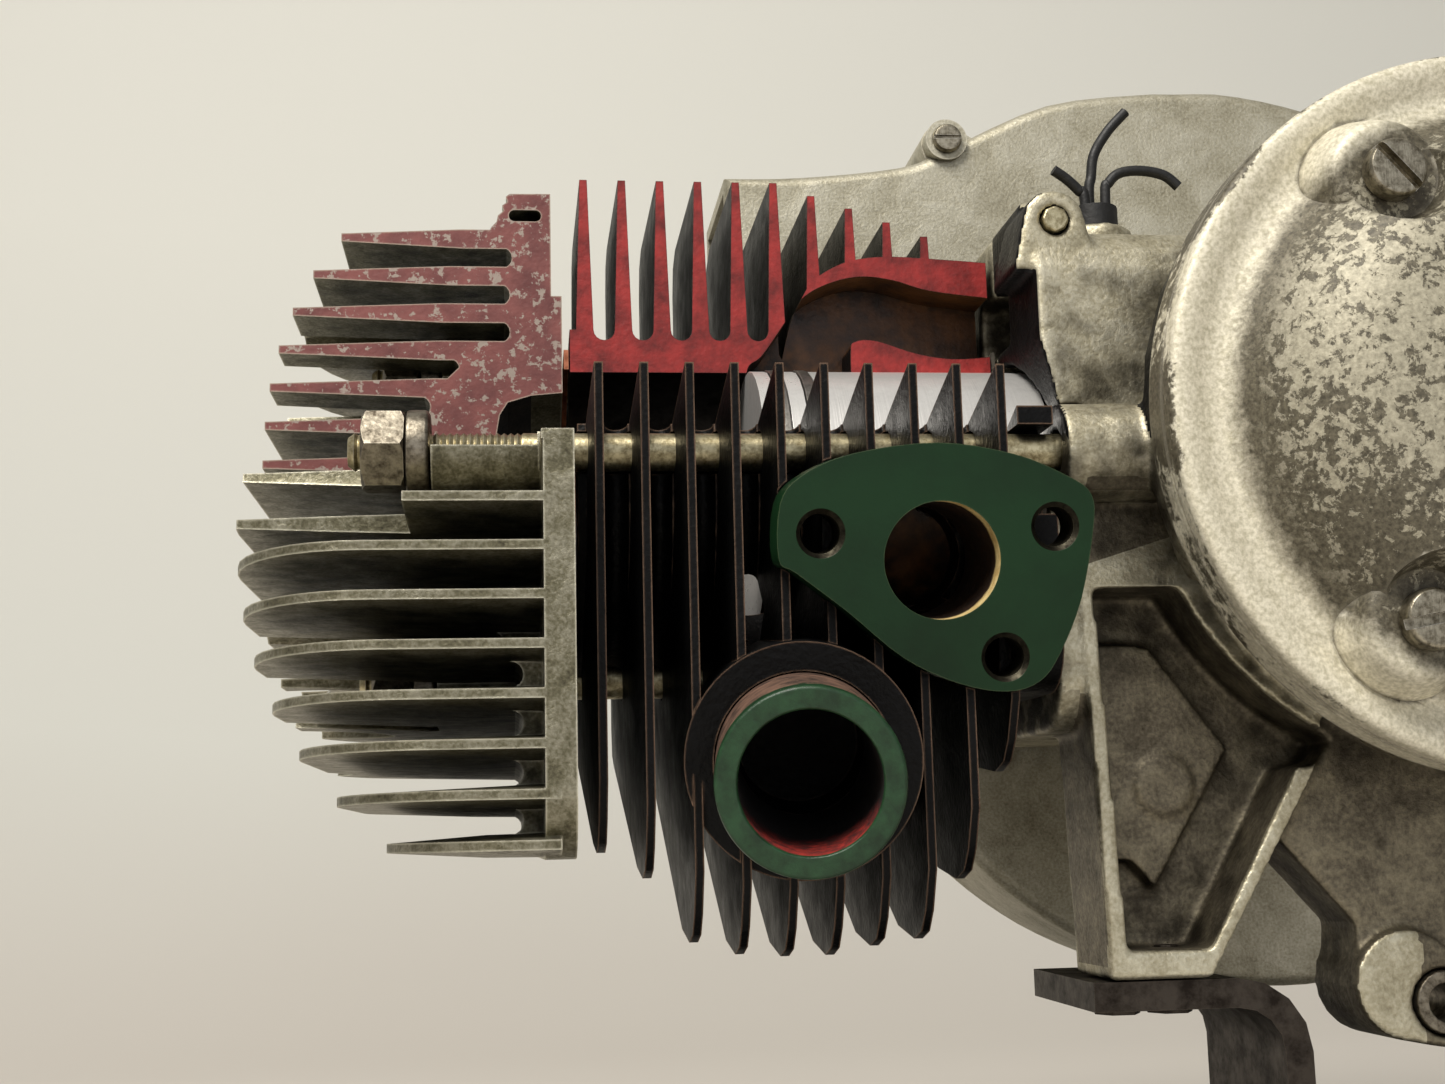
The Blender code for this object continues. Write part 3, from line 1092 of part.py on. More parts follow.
def build_front_case(cast, zinc):
    front = -CASE_FRONT
    back = -HALF_SPLIT
    case = add_part("crankcase_front", along_y(CRANK_X, 0, front, back, CASE_RADIUS, ROUND_LARGE), cast)
    neck = rounded_box((-NECK_FRONT, -NECK_BOTTOM), (NECK_FRONT, NECK_TOP), NECK_CORNER)
    neck = [(back, NECK_TOP)] + [place for place in neck if place[0] < back] + [(back, -NECK_BOTTOM)]
    add_to(case, plate_shape(neck, "X", CASE_MOUTH, CRANK_X))
    low = (CASE_MOUTH, -NECK_FRONT + NECK_CORNER, NECK_TOP - NECK_CORNER)
    add_to(case, box_shape(low, (CASE_MOUTH + MOUTH_THICK, back, MOUTH_TOP)))
    rim = along_y(CRANK_X + COVER_ACROSS, COVER_RISE, front, front + CASE_RIM_THICK, CASE_RIM_RADIUS, ROUND_LARGE)
    add_to(case, rim)
    add_to(case, plate_shape(bracket_outline(), "Y", -BRACKET_FRONT, -BRACKET_BACK))
    boss = stud_place(0)
    start = boss + Vector((CASE_MOUTH + STUD_BOSS_START, 0, 0))
    add_to(case, rod_shape(start, start + Vector((STUD_BOSS_LENGTH, 0, 0)), STUD_BOSS_RADIUS, ROUND_SMALL))
    arm = [
        (PIVOT_X - PIVOT_TOE - PIVOT_TOE_RADIUS * ARM_SHARE, -PIVOT_DROP + PIVOT_TOE_RISE),
        (PIVOT_X + PIVOT_RADIUS * ARM_SHARE, -PIVOT_DROP), (ARM_RIGHT_X, -ARM_TOP_DROP),
        (ARM_LEFT_X, -ARM_TOP_DROP), (ARM_LEFT_X, -ARM_LEFT_DROP), (ARM_WAIST_X, -ARM_WAIST_DROP),
    ]
    add_to(case, plate_shape(arm, "Y", -ARM_FRONT, -PIVOT_BACK - GAP))
    rims = []
    for x, z, radius in ((PIVOT_X, -PIVOT_DROP, PIVOT_RADIUS),
                         (PIVOT_X - PIVOT_TOE, -PIVOT_DROP + PIVOT_TOE_RISE, PIVOT_TOE_RADIUS)):
        for index in range(ROUND_MEDIUM):
            angle = math.tau * index / ROUND_MEDIUM
            for y in (-PIVOT_FRONT, -PIVOT_BACK):
                rims.append((x + radius * math.cos(angle), y, z + radius * math.sin(angle)))
    add_to(case, hull_shape(rims))
    case_bores(case)
    section = [(CASE_MOUTH + x * SECTION_SPAN, z * SECTION_SPAN) for x, z in SECTION_EDGE_SHARES]
    cut_from(case, plate_shape(section, "Y", -CUT_REACH, OVERRUN))
    floor = -BRACKET_FRONT + BRACKET_POCKET_DEPTH
    cut_from(case, plate_shape(bracket_pocket(), "Y", -BRACKET_FRONT - OVERRUN / 2, floor))
    mark = along_y(
        CAST_MARK_X, -CAST_MARK_DROP, floor - CAST_MARK_PROUD, -BRACKET_BACK - GAP, CAST_MARK_RADIUS, ROUND_SMALL,
    )
    add_to(case, mark)
    lug = []
    for turn in range(0, 181, 30):
        slope = math.radians(turn)
        lug.append((LUG_X + LUG_RADIUS * math.cos(slope), LUG_RISE + LUG_RADIUS * math.sin(slope)))
    lug += [(LUG_X - LUG_FOOT_HALF, NECK_TOP - NECK_CORNER), (LUG_X + LUG_FOOT_HALF, NECK_TOP - NECK_CORNER)]
    add_to(case, plate_shape(lug, "Y", -LUG_FRONT, -LUG_BACK))
    lug_hole = along_y(LUG_X, LUG_RISE, -LUG_FRONT - OVERRUN, -LUG_BACK - GAP, LUG_PIN_RADIUS + GAP, ROUND_TINY)
    cut_from(case, lug_hole)
    cut_from(case, along_y(PIVOT_X, -PIVOT_DROP, -CUT_REACH, 0, PIVOT_BUSH_RADIUS + GAP, ROUND_MEDIUM))
    shanks = []
    for x, y in strap_screw_places():
        top = -STRAP_TOP - STRAP_THICK + STRAP_SCREW_LENGTH + GAP
        shanks.append(rod_shape((x, y, -CUT_REACH - OVERRUN), (x, y, top), STRAP_SCREW_RADIUS + GAP, ROUND_TINY))
    cut_from(case, joined(*shanks))
    cut_from(case, joined(*[
        along_y(x, z, front - OVERRUN, front + COVER_SCREW_BITE + GAP, COVER_SCREW_SHANK + GAP, ROUND_TINY)
        for x, z in cover_screw_places()
    ]))
    pin = along_y(LUG_X, LUG_RISE, -LUG_FRONT - LUG_PIN_PROUD, -LUG_BACK - GAP * 2, LUG_PIN_RADIUS, ROUND_TINY)
    add_part("case_pin", pin, zinc)
    bore = PIVOT_BOLT_RADIUS
    near = PIVOT_BACK
    far = PIVOT_FRONT + LUG_PIN_PROUD
    profile = ((bore, near), (PIVOT_BUSH_RADIUS, near), (PIVOT_BUSH_RADIUS, far), (bore, far))
    bush = turned_shape(profile, (PIVOT_X, 0, -PIVOT_DROP), (0, -1, 0), ROUND_MEDIUM)
    add_part("mount_bush", bush, zinc)


def build_back_case(cast):
    near = HALF_SPLIT
    case = add_part("crankcase_back", along_y(CRANK_X, 0, near, CASE_BACK, CASE_RADIUS, ROUND_LARGE), cast)
    neck = rounded_box((near, -NECK_BOTTOM), (NECK_BACK, NECK_TOP), NECK_CORNER)
    neck = [(y, z) for y, z in neck if y > near + NECK_CORNER]
    neck = [(near, -NECK_BOTTOM)] + neck[len(neck) // 2:] + neck[:len(neck) // 2] + [(near, NECK_TOP)]
    add_to(case, plate_shape(neck, "X", CASE_MOUTH, CRANK_X))
    low = (CASE_MOUTH, near, NECK_TOP - NECK_CORNER)
    add_to(case, box_shape(low, (CASE_MOUTH + MOUTH_THICK, NECK_BACK - NECK_CORNER, MOUTH_TOP)))
    add_to(case, along_y(CRANK_X, 0, near, CASE_BACK + BACK_BOSS_REACH, BACK_BOSS_RADIUS, ROUND_LARGE))
    foot = (GROMMET_X, GROMMET_Y, NECK_TOP - NECK_CORNER)
    add_to(case, rod_shape(foot, (GROMMET_X, GROMMET_Y, GROMMET_SEAT), GROMMET_BOSS_RADIUS, ROUND_MEDIUM))
    case_bores(case)
    cut_from(case, wire_holes())


def cover_screw_places():
    places = []
    for turn in COVER_SCREW_TURNS:
        across = COVER_SCREW_CIRCLE * math.cos(turn)
        up = COVER_SCREW_CIRCLE * math.sin(turn)
        places.append((CRANK_X + COVER_ACROSS + across, COVER_RISE + up))
    return places


def build_cover(pale, zinc):
    outer = [(COVER_RADIUS * r, COVER_DOME_DEPTH * d) for r, d in COVER_DOME_SHARES]
    inner = [(max(r - COVER_SKIN * (r / COVER_RADIUS), 0), d - COVER_SKIN) for r, d in outer]
    band = COVER_RADIUS - COVER_RIM_BAND
    profile = outer + [
        (band, COVER_RIM_DEPTH * COVER_GROOVE_SHARE), (band + COVER_RIM_STEP, COVER_RIM_DEPTH),
        (COVER_RADIUS - COVER_RIM_ROUND, COVER_RIM_DEPTH), (COVER_RADIUS, COVER_RIM_DEPTH * COVER_EDGE_SHARE),
        (COVER_RADIUS, GAP), (band - COVER_SKIN, GAP),
    ]
    profile += list(reversed(inner))
    start = (CRANK_X + COVER_ACROSS, -CASE_FRONT, COVER_RISE)
    cover = add_part("side_cover", turned_shape(profile, start, (0, -1, 0), ROUND_COVER), pale)
    seat = -CASE_FRONT - COVER_SCREW_SEAT
    places = cover_screw_places()
    top = seat - COVER_SKIN / 2
    bosses = [along_y(x, z, top, -CASE_FRONT - GAP, COVER_SCREW_BOSS, ROUND_SMALL) for x, z in places]
    add_to(cover, joined(*bosses))
    reach = COVER_SCREW_BOSS + COVER_SCREW_ROOM
    pockets = [along_y(x, z, -CUT_REACH, seat, reach, ROUND_SMALL) for x, z in places]
    cut_from(cover, joined(*pockets))
    holes = [along_y(x, z, -CUT_REACH, 0, COVER_SCREW_SHANK + GAP, ROUND_TINY) for x, z in places]
    cut_from(cover, joined(*holes))
    for index, (x, z) in enumerate(places):
        head_end = seat - GAP - COVER_SCREW_HEAD_DEPTH
        screw = add_part(f"cover_screw_{index + 1}", along_y(x, z, head_end, seat - GAP, COVER_SCREW_HEAD, ROUND_SMALL), zinc)
        shank_end = -CASE_FRONT + COVER_SCREW_BITE
        add_to(screw, along_y(x, z, seat - GAP - COVER_SCREW_HEAD_DEPTH / 2, shank_end, COVER_SCREW_SHANK, ROUND_TINY))
        low = (x - SLOT_WIDTH / 2, head_end - OVERRUN, z - CUT_REACH)
        cut_from(screw, box_shape(low, (x + SLOT_WIDTH / 2, head_end + SLOT_DEPTH, z + CUT_REACH)))


# Fan housing

def scroll_points(shares):
    points = []
    for (turn, share), (next_turn, next_share) in zip(shares, shares[1:]):
        steps = max(1, round((next_turn - turn) / SCROLL_STEP))
        for step in range(steps):
            part = step / steps
            radius = FAN_RADIUS * (share + (next_share - share) * part)
            angle = math.radians(turn + (next_turn - turn) * part)
            points.append((CRANK_X + radius * math.cos(angle), radius * math.sin(angle)))
    turn, share = shares[-1]
    angle = math.radians(turn)
    points.append((CRANK_X + FAN_RADIUS * share * math.cos(angle), FAN_RADIUS * share * math.sin(angle)))
    return points


def housing_outline():
    horn = [(CRANK_X + FAN_RADIUS * x, FAN_RADIUS * z) for x, z in HORN_SHARES]
    return scroll_points(SCROLL_START_SHARES) + horn + scroll_points(SCROLL_END_SHARES)


def moved_in(outline, amount):
    """The same outline with every side moved inwards by one amount."""
    points = []
    count = len(outline)
    for index in range(count):
        before = Vector(outline[index - 1])
        here = Vector(outline[index])
        after = Vector(outline[(index + 1) % count])
        first = (here - before).normalized()
        second = (after - here).normalized()
        inward = Vector((-first.y - second.y, first.x + second.x)).normalized()
        lean = inward.dot(Vector((-first.y, first.x)))
        point = here + inward * amount / lean
        points.append((point.x, point.y))
    return points


def fan_ear_places():
    return [(CRANK_X + FAN_RADIUS * x, FAN_RADIUS * z) for x, z in FAN_EARS]


def ears(near, far, radius, segments):
    return joined(*[along_y(x, z, near, far, radius, segments) for x, z in fan_ear_places()])


def build_fan_housing(cast, zinc):
    outline = housing_outline()
    housing = add_part("fan_housing", plate_shape(outline, "Y", FAN_FRONT, FAN_BACK), cast)
    add_to(housing, plate_shape(outline, "Y", FAN_FRONT - FAN_LIP, FAN_FRONT + FAN_WALL))
    lip = moved_in(outline, FAN_LIP_BAND)
    cut_from(housing, plate_shape(lip, "Y", FAN_FRONT - FAN_LIP - OVERRUN, FAN_FRONT))
    inside = moved_in(outline, FAN_WALL)
    cut_from(housing, plate_shape(inside, "Y", FAN_FRONT + FAN_WALL, FAN_BACK + OVERRUN))
    add_to(housing, ears(FAN_FRONT - FAN_LIP * 2, FAN_BACK, FAN_EAR_RADIUS, ROUND_SMALL))
    boss = BACK_BOSS_RADIUS + GAP
    cut_from(housing, along_y(CRANK_X, 0, 0, FAN_FRONT + FAN_WALL + GAP, boss, ROUND_LARGE))
    left = CRANK_X + FAN_RADIUS * HORN_SHARES[HORN_CORNER][0]
    top = FAN_RADIUS * HORN_SHARES[HORN_CORNER][1] - FAN_WALL
    bottom = FAN_RADIUS * HORN_SHARES[HORN_CORNER + 1][1] + FAN_WALL
    low = (left - OVERRUN, FAN_FRONT + FAN_WALL, bottom)
    cut_from(housing, box_shape(low, (left + FAN_WALL * 2, FAN_BACK + OVERRUN, top)))
    cut_from(housing, ears(FAN_FRONT - OVERRUN, FAN_BACK + OVERRUN, FAN_SCREW_RADIUS + GAP, ROUND_TINY))
    near = FAN_BACK + GAP
    far = near + FAN_COVER_THICK
    cover = add_part("fan_cover", plate_shape(outline, "Y", near, far), cast)
    add_to(cover, ears(near, far, FAN_EAR_RADIUS, ROUND_SMALL))
    cut_from(cover, along_y(CRANK_X, 0, near - OVERRUN, far + OVERRUN, FAN_INLET_RADIUS, ROUND_LARGE))
    cut_from(cover, ears(near - OVERRUN, far + OVERRUN, FAN_SCREW_RADIUS + GAP, ROUND_TINY))
    for index, (x, z) in enumerate(fan_ear_places()):
        seat = FAN_FRONT - FAN_LIP * 2 - GAP
        head_end = seat - FAN_SCREW_HEAD_DEPTH
        screw = add_part(f"fan_screw_{index + 1}", along_y(x, z, head_end, seat, FAN_SCREW_HEAD, ROUND_SMALL), zinc)
        add_to(screw, along_y(x, z, head_end + FAN_SCREW_HEAD_DEPTH / 2, far, FAN_SCREW_RADIUS, ROUND_TINY))
        low = (x - CUT_REACH, head_end - OVERRUN, z - SLOT_WIDTH / 2)
        cut_from(screw, box_shape(low, (x + CUT_REACH, head_end + SLOT_DEPTH, z + SLOT_WIDTH / 2)))


# Wires

def smooth_route(points):
    """Points at one spacing along a smooth curve through the given ones."""
    dense = []
    count = len(points)
    for index in range(count - 1):
        p0 = points[max(index - 1, 0)]
        p1 = points[index]
        p2 = points[index + 1]
        p3 = points[min(index + 2, count - 1)]
        for step in range(20):
            t = step / 20
            dense.append(
                (p1 * 2 + (p2 - p0) * t + (p0 * 2 - p1 * 5 + p2 * 4 - p3) * t ** 2
                 + (p1 * 3 - p0 - p2 * 3 + p3) * t ** 3) / 2
            )
    dense.append(points[-1])
    length = sum((b - a).length for a, b in zip(dense, dense[1:]))
    steps = round(length / WIRE_STEP)
    route = [dense[0]]
    travelled = 0
    for a, b in zip(dense, dense[1:]):
        travelled += (b - a).length
        if travelled >= length * len(route) / steps - MERGE and len(route) < steps:
            route.append(b)
    route.append(dense[-1])
    return route


def tube_shape(route, radius):
    curve = bpy.data.curves.new("wire", "CURVE")
    curve.dimensions = "3D"
    curve.bevel_depth = radius
    curve.bevel_resolution = 2
    curve.use_fill_caps = True
    spline = curve.splines.new("POLY")
    spline.points.add(len(route) - 1)
    for point, place in zip(spline.points, route):
        point.co = (*place, 1)
    holder = bpy.data.objects.new("wire", curve)
    cutters.objects.link(holder)
    bpy.context.view_layer.update()
    graph = bpy.context.evaluated_depsgraph_get()
    mesh = bpy.data.meshes.new_from_object(holder.evaluated_get(graph))
    bpy.data.objects.remove(holder)
    shape = bmesh.new()
    shape.from_mesh(mesh)
    bpy.data.meshes.remove(mesh)
    bmesh.ops.remove_doubles(shape, verts=shape.verts, dist=MERGE)
    outward(shape)
    return shape


def build_wires(rubber):
    seat = Vector((GROMMET_X, GROMMET_Y, GROMMET_SEAT + GAP))
    top = seat + Vector((0, 0, GROMMET_HEIGHT))
    grommet = add_part("wire_grommet", rod_shape(seat, top, GROMMET_RADIUS, ROUND_MEDIUM), rubber)
    holes = []
    for index, (across, deep) in enumerate(WIRE_PLACES):
        place = Vector((across, deep, 0))
        start = top + place - Vector((0, 0, WIRE_SINK))
        holes.append(rod_shape(start - Vector((0, 0, GAP)), top + place + Vector((0, 0, OVERRUN)), WIRE_RADIUS + GAP, ROUND_TINY))
        points = [start] + [top + place + Vector(point) for point in WIRE_ROUTES[index]]
        add_part(f"wire_{index + 1}", tube_shape(smooth_route(points), WIRE_RADIUS), rubber)
    cut_from(grommet, joined(*holes))


def wire_holes():
    shapes = []
    for across, deep in WIRE_PLACES:
        top = (GROMMET_X + across, GROMMET_Y + deep, GROMMET_SEAT + OVERRUN)
        low = (top[0], top[1], GROMMET_SEAT + GROMMET_HEIGHT - WIRE_SINK - GAP)
        shapes.append(rod_shape(low, top, WIRE_RADIUS + GAP, ROUND_TINY))
    return joined(*shapes)


# Stand

def strap_outline():
    top = -STRAP_TOP
    outer = STRAP_BEND
    inner = STRAP_BEND - STRAP_THICK
    centre_x = STRAP_LEG_X - outer
    centre_z = top - outer
    floor = top - STRAP_DROP
    points = [(STRAP_LEFT_X, top - STRAP_THICK), (STRAP_LEFT_X, top)]
    for turn in (90, 67.5, 45, 22.5, 0):
        angle = math.radians(turn)
        points.append((centre_x + outer * math.cos(angle), centre_z + outer * math.sin(angle)))
    low_inner = STRAP_BEND - STRAP_THICK
    low_x = STRAP_LEG_X + low_inner
    low_z = floor + STRAP_THICK + low_inner
    for turn in (180, 202.5, 225, 247.5, 270):
        angle = math.radians(turn)
        points.append((low_x + low_inner * math.cos(angle), low_z + low_inner * math.sin(angle)))
    points += [(STRAP_LEG_X + FOOT_LENGTH, floor + STRAP_THICK), (STRAP_LEG_X + FOOT_LENGTH, floor)]
    for turn in (270, 247.5, 225, 202.5, 180):
        angle = math.radians(turn)
        points.append((low_x + outer * math.cos(angle), low_z + outer * math.sin(angle)))
    for turn in (0, 22.5, 45, 67.5, 90):
        angle = math.radians(turn)
        points.append((centre_x + inner * math.cos(angle), centre_z + inner * math.sin(angle)))
    return points


def build_stand(steel, wood, zinc):
    back = STRAP_WIDTH - STRAP_FRONT
    strap = add_part("stand_strap", plate_shape(strap_outline(), "Y", -STRAP_FRONT, back), steel)
    under = -STRAP_TOP - STRAP_THICK
    holes = []
    for x, y in strap_screw_places():
        holes.append(rod_shape((x, y, under - OVERRUN), (x, y, -STRAP_TOP + OVERRUN), STRAP_SCREW_RADIUS + GAP, ROUND_TINY))
    cut_from(strap, joined(*holes))
    floor = -STRAP_TOP - STRAP_DROP
    middle_y = (back - STRAP_FRONT) / 2
    bolt_x = STRAP_LEG_X + FOOT_BOLT_AFTER_LEG
    bolt_places = [(bolt_x, middle_y - FOOT_BOLT_INSET), (bolt_x, middle_y + FOOT_BOLT_INSET)]
    bores = [
        rod_shape((x, y, floor - FOOT_BOLT_DEPTH - GAP), (x, y, floor + CUT_REACH / 2), FOOT_BOLT_RADIUS + GAP, ROUND_SMALL)
        for x, y in bolt_places
    ]
    cut_from(strap, joined(*bores))
    outline = rounded_box((BASE_LEFT_X, -BASE_HALF_DEPTH), (BASE_RIGHT_X, BASE_HALF_DEPTH), BASE_ROUND)
    base = add_part("base_plate", plate_shape(outline, "Z", floor - GAP - BASE_THICK, floor - GAP), wood)
    bores = [
        rod_shape((x, y, floor - FOOT_BOLT_DEPTH - GAP), (x, y, floor + OVERRUN), FOOT_BOLT_RADIUS + GAP, ROUND_SMALL)
        for x, y in bolt_places
    ]
    cut_from(base, joined(*bores))
    seat = floor + STRAP_THICK + GAP
    for index, (x, y) in enumerate(bolt_places):
        head = hexagon_shape((x, y, seat), (x, y, seat + FOOT_BOLT_HEAD), FOOT_BOLT_FLATS)
        bolt = add_part(f"foot_bolt_{index + 1}", head, zinc)
        end = (x, y, floor - FOOT_BOLT_DEPTH)
        add_to(bolt, rod_shape((x, y, seat + FOOT_BOLT_HEAD / 2), end, FOOT_BOLT_RADIUS, ROUND_SMALL))
    for index, (x, y) in enumerate(strap_screw_places()):
        head = hexagon_shape((x, y, under - GAP), (x, y, under - GAP - STRAP_SCREW_HEAD), STRAP_SCREW_FLATS)
        screw = add_part(f"strap_screw_{index + 1}", head, zinc)
        end = (x, y, under + STRAP_SCREW_LENGTH)
        add_to(screw, rod_shape((x, y, under - GAP - STRAP_SCREW_HEAD / 2), end, STRAP_SCREW_RADIUS, ROUND_TINY))


def build_base_gasket(paper):
    thick = CASE_MOUTH - CYLINDER_LENGTH - 2 * GAP
    inner = BORE_RADIUS + NECK_BORE_CLEARANCE
    profile = ((inner, 0), (GASKET_RADIUS, 0), (GASKET_RADIUS, thick), (inner, thick))
    gasket = add_part("base_gasket", turned_shape(profile, (CYLINDER_LENGTH + GAP, 0, 0), (1, 0, 0), ROUND_LARGE), paper)
    rise = CUT_EDGE_RISE
    cut_from(gasket, box_shape((0, -CUT_REACH, rise), (CUT_REACH, 0, CUT_REACH)))


def main():
    global parts, cutters
    clear_scene()
    parts = new_collection("cutaway_engine")
    cutters = new_collection("cutters")
    iron = finish("painted_iron", (0.02, 0.02, 0.02), 0.5, 0.3)
    green = finish("green_paint", (0.03, 0.13, 0.06), 0.5, 0.0)
    tube = finish("steel_tube", (0.2, 0.15, 0.12), 0.6, 0.6)
    alloy = finish("cast_alloy", (0.35, 0.33, 0.3), 0.55, 0.7)
    steel = finish("bright_steel", (0.5, 0.5, 0.5), 0.35, 1.0)
    copper = finish("gasket_sheet", (0.5, 0.3, 0.15), 0.5, 0.6)
    zinc = finish("yellow_zinc", (0.5, 0.42, 0.22), 0.4, 1.0)
    bright = finish("machined_alloy", (0.75, 0.75, 0.73), 0.3, 1.0)
    pale = finish("silver_paint", (0.5, 0.5, 0.48), 0.5, 0.3)
    strap = finish("dark_steel", (0.03, 0.025, 0.02), 0.5, 0.7)
    board = finish("base_paint", (0.03, 0.03, 0.03), 0.6, 0.1)
    rubber = finish("black_rubber", (0.015, 0.015, 0.015), 0.7, 0.0)
    paper = finish("gasket_paper", (0.2, 0.18, 0.15), 0.8, 0.0)
    build_cylinder(iron)
    build_ports(green, tube)
    build_head(alloy, steel, copper)
    build_base_gasket(paper)
    build_studs(zinc)
    build_piston(bright, steel)
    build_rod(steel)
    build_crankshaft(steel, alloy)
    build_front_case(alloy, zinc)
    build_back_case(alloy)
    build_cover(pale, zinc)
    build_fan_housing(alloy, zinc)
    build_wires(rubber)
    build_stand(strap, board, zinc)


main()
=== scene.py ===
# %% [markdown]
# A cutaway two-stroke engine on a bent strap stand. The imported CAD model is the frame: every piece made
# here sits where the CAD says and rides on one of its bodies. The lesson goes from the tools, through the
# finishes, to the pieces, and each cell says what the real thing is before it makes it.

# %% Load the frame and keep the CAD box
import math
import bpy
import bmesh
from mathutils import Matrix, Vector


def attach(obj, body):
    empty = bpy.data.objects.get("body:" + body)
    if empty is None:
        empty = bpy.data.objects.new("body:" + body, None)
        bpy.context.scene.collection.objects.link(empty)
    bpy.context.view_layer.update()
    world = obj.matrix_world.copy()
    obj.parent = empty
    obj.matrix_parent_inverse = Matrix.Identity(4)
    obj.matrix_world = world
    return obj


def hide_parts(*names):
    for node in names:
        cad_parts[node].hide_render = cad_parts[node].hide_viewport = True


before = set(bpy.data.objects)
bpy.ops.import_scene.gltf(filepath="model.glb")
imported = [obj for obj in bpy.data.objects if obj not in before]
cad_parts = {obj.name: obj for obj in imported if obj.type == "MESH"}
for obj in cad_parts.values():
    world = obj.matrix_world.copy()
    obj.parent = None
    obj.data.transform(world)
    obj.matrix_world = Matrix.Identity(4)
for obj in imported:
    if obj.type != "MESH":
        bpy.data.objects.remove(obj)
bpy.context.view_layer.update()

# %% [markdown]
# The engine is drawn in millimetres from the middle of the cylinder's top face: x runs from the head to the
# crankshaft, y from the side cover to the fan, z up. One matrix takes those numbers to the row's metres.

# %% Places and sizes shared by several pieces
MM = 0.001
AXIS_HEIGHT = 171.8
BASE_MIDDLE = 115.0
TO_ROW = Matrix.Scale(MM, 4) @ Matrix.Translation((-BASE_MIDDLE, 0, AXIS_HEIGHT))
X, Y, Z = Vector((1, 0, 0)), Vector((0, 1, 0)), Vector((0, 0, 1))
CRANK_X = 174.0
CYLINDER = 90.5
BORE = 28.5
BARREL = 35.5
GAP = 0.3
FAR = 100.0
STUD_CIRCLE = 37.5
STUDS = [Vector((0, STUD_CIRCLE * math.cos(turn), STUD_CIRCLE * math.sin(turn)))
         for turn in map(math.radians, (175, 55, -20, 262))]
COVER = Vector((176.5, -50.0, 7.5))
print("crank at", TO_ROW @ (X * CRANK_X))

# %% [markdown]
# The camera stands a little below the cylinder's middle, left of the engine, and looks slightly up and to the
# right, as the photograph does. Its place and turn were found from edges of known size in the picture.

# %% Camera
eye = Vector((-12.709, -378.929, -69.510))
right = Vector((0.99345398, -0.11179079, -0.02349474))
up = Vector((0.00520176, -0.16118928, 0.98690980))
ahead = Vector((0.11411452, 0.98057169, 0.15955263))
FOCAL_PIXELS = 1850.0
PICTURE_WIDTH = 1445.0
SENSOR_WIDTH = 36.0


def linked(name, data):
    item = bpy.data.objects.new(name, data)
    bpy.context.scene.collection.objects.link(item)
    return item


camera = linked("camera", bpy.data.cameras.new("camera"))
camera.data.sensor_width = SENSOR_WIDTH
camera.data.lens = FOCAL_PIXELS * SENSOR_WIDTH / PICTURE_WIDTH
camera.data.clip_start, camera.data.clip_end = 0.01, 20
camera.matrix_world = Matrix.Translation(TO_ROW @ eye) @ Matrix((right, up, -ahead)).transposed().to_4x4()
bpy.context.scene.camera = camera
print("camera at", camera.location, "lens", round(camera.data.lens, 2))

# %% [markdown]
# Colours are picked as sRGB hex values, as a paint card gives them. Blender mixes light in linear
# values, so one function turns hex to linear. `put` adds a node: what it is given by name goes to the input
# of that name or else to the setting. A node given as a value stands for its first live output, a text for
# a colour.

# %% Colour and node helpers
def linear(code):
    values = [int(code[i:i + 2], 16) / 255 for i in (1, 3, 5)]
    return [v / 12.92 if v <= 0.04045 else ((v + 0.055) / 1.055) ** 2.4 for v in values] + [1.0]


def feed(node, inputs):
    for name, value in inputs.items():
        if isinstance(value, bpy.types.Node):
            value = next(socket for socket in value.outputs if socket.enabled)
        if isinstance(value, bpy.types.NodeSocket):
            node.id_data.links.new(value, node.inputs[name])
        else:
            node.inputs[name].default_value = linear(value) if isinstance(value, str) else value


def put(tree, kind, inputs=None, stops=(), **named):
    node = tree.nodes.new("ShaderNode" + kind)
    for name, value in named.items():
        if name in node.inputs:
            feed(node, {name: value})
        else:
            setattr(node, name, value)
    for number, (place, code) in enumerate(stops):
        ramp = node.color_ramp.elements
        element = ramp[number] if number < len(ramp) else ramp.new(place)
        element.position = place
        element.color = linear(code)
    feed(node, inputs or {})
    return node


def per_mm(size):
    return 1 / (size * MM)


def span(*limits):
    return dict(zip(("From Min", "From Max", "To Min", "To Max"), limits))


def new_finish(name, metallic, roughness):
    material = bpy.data.materials.new(name)
    material.use_nodes = True
    tree = material.node_tree
    shader = tree.nodes["Principled BSDF"]
    feed(shader, {"Metallic": metallic, "Roughness": roughness})
    return material, tree, shader, put(tree, "TexCoord").outputs["Object"]


# %% [markdown]
# Wear sits on edges. The Bevel node gives the normal that a rounded edge would have, so where it leaves the
# true normal there is an edge, and noise breaks that line up as handling does. The mask is 1 at the edge.
# Painted shade does the opposite: hollows, which the Ambient Occlusion node finds, are darkened.

# %% Where an edge is worn and where shade is painted in hollows
def in_patches(tree, where, amount, patch, start, full):
    patches = put(tree, "TexNoise", Vector=where, Scale=per_mm(patch), Detail=6.0)
    broken = put(tree, "Math", {0: amount, 1: patches}, operation="MULTIPLY")
    return put(tree, "MapRange", {"Value": broken, **span(start, full)})


def edge_wear(tree, where, radius, *pattern):
    rounded = put(tree, "Bevel", Radius=radius * MM, samples=4)
    true = put(tree, "NewGeometry").outputs["Normal"]
    match = put(tree, "VectorMath", {0: rounded, 1: true}, operation="DOT_PRODUCT")
    bent = put(tree, "Math", {0: 1.0, 1: match}, operation="SUBTRACT")
    return in_patches(tree, where, bent, *pattern)
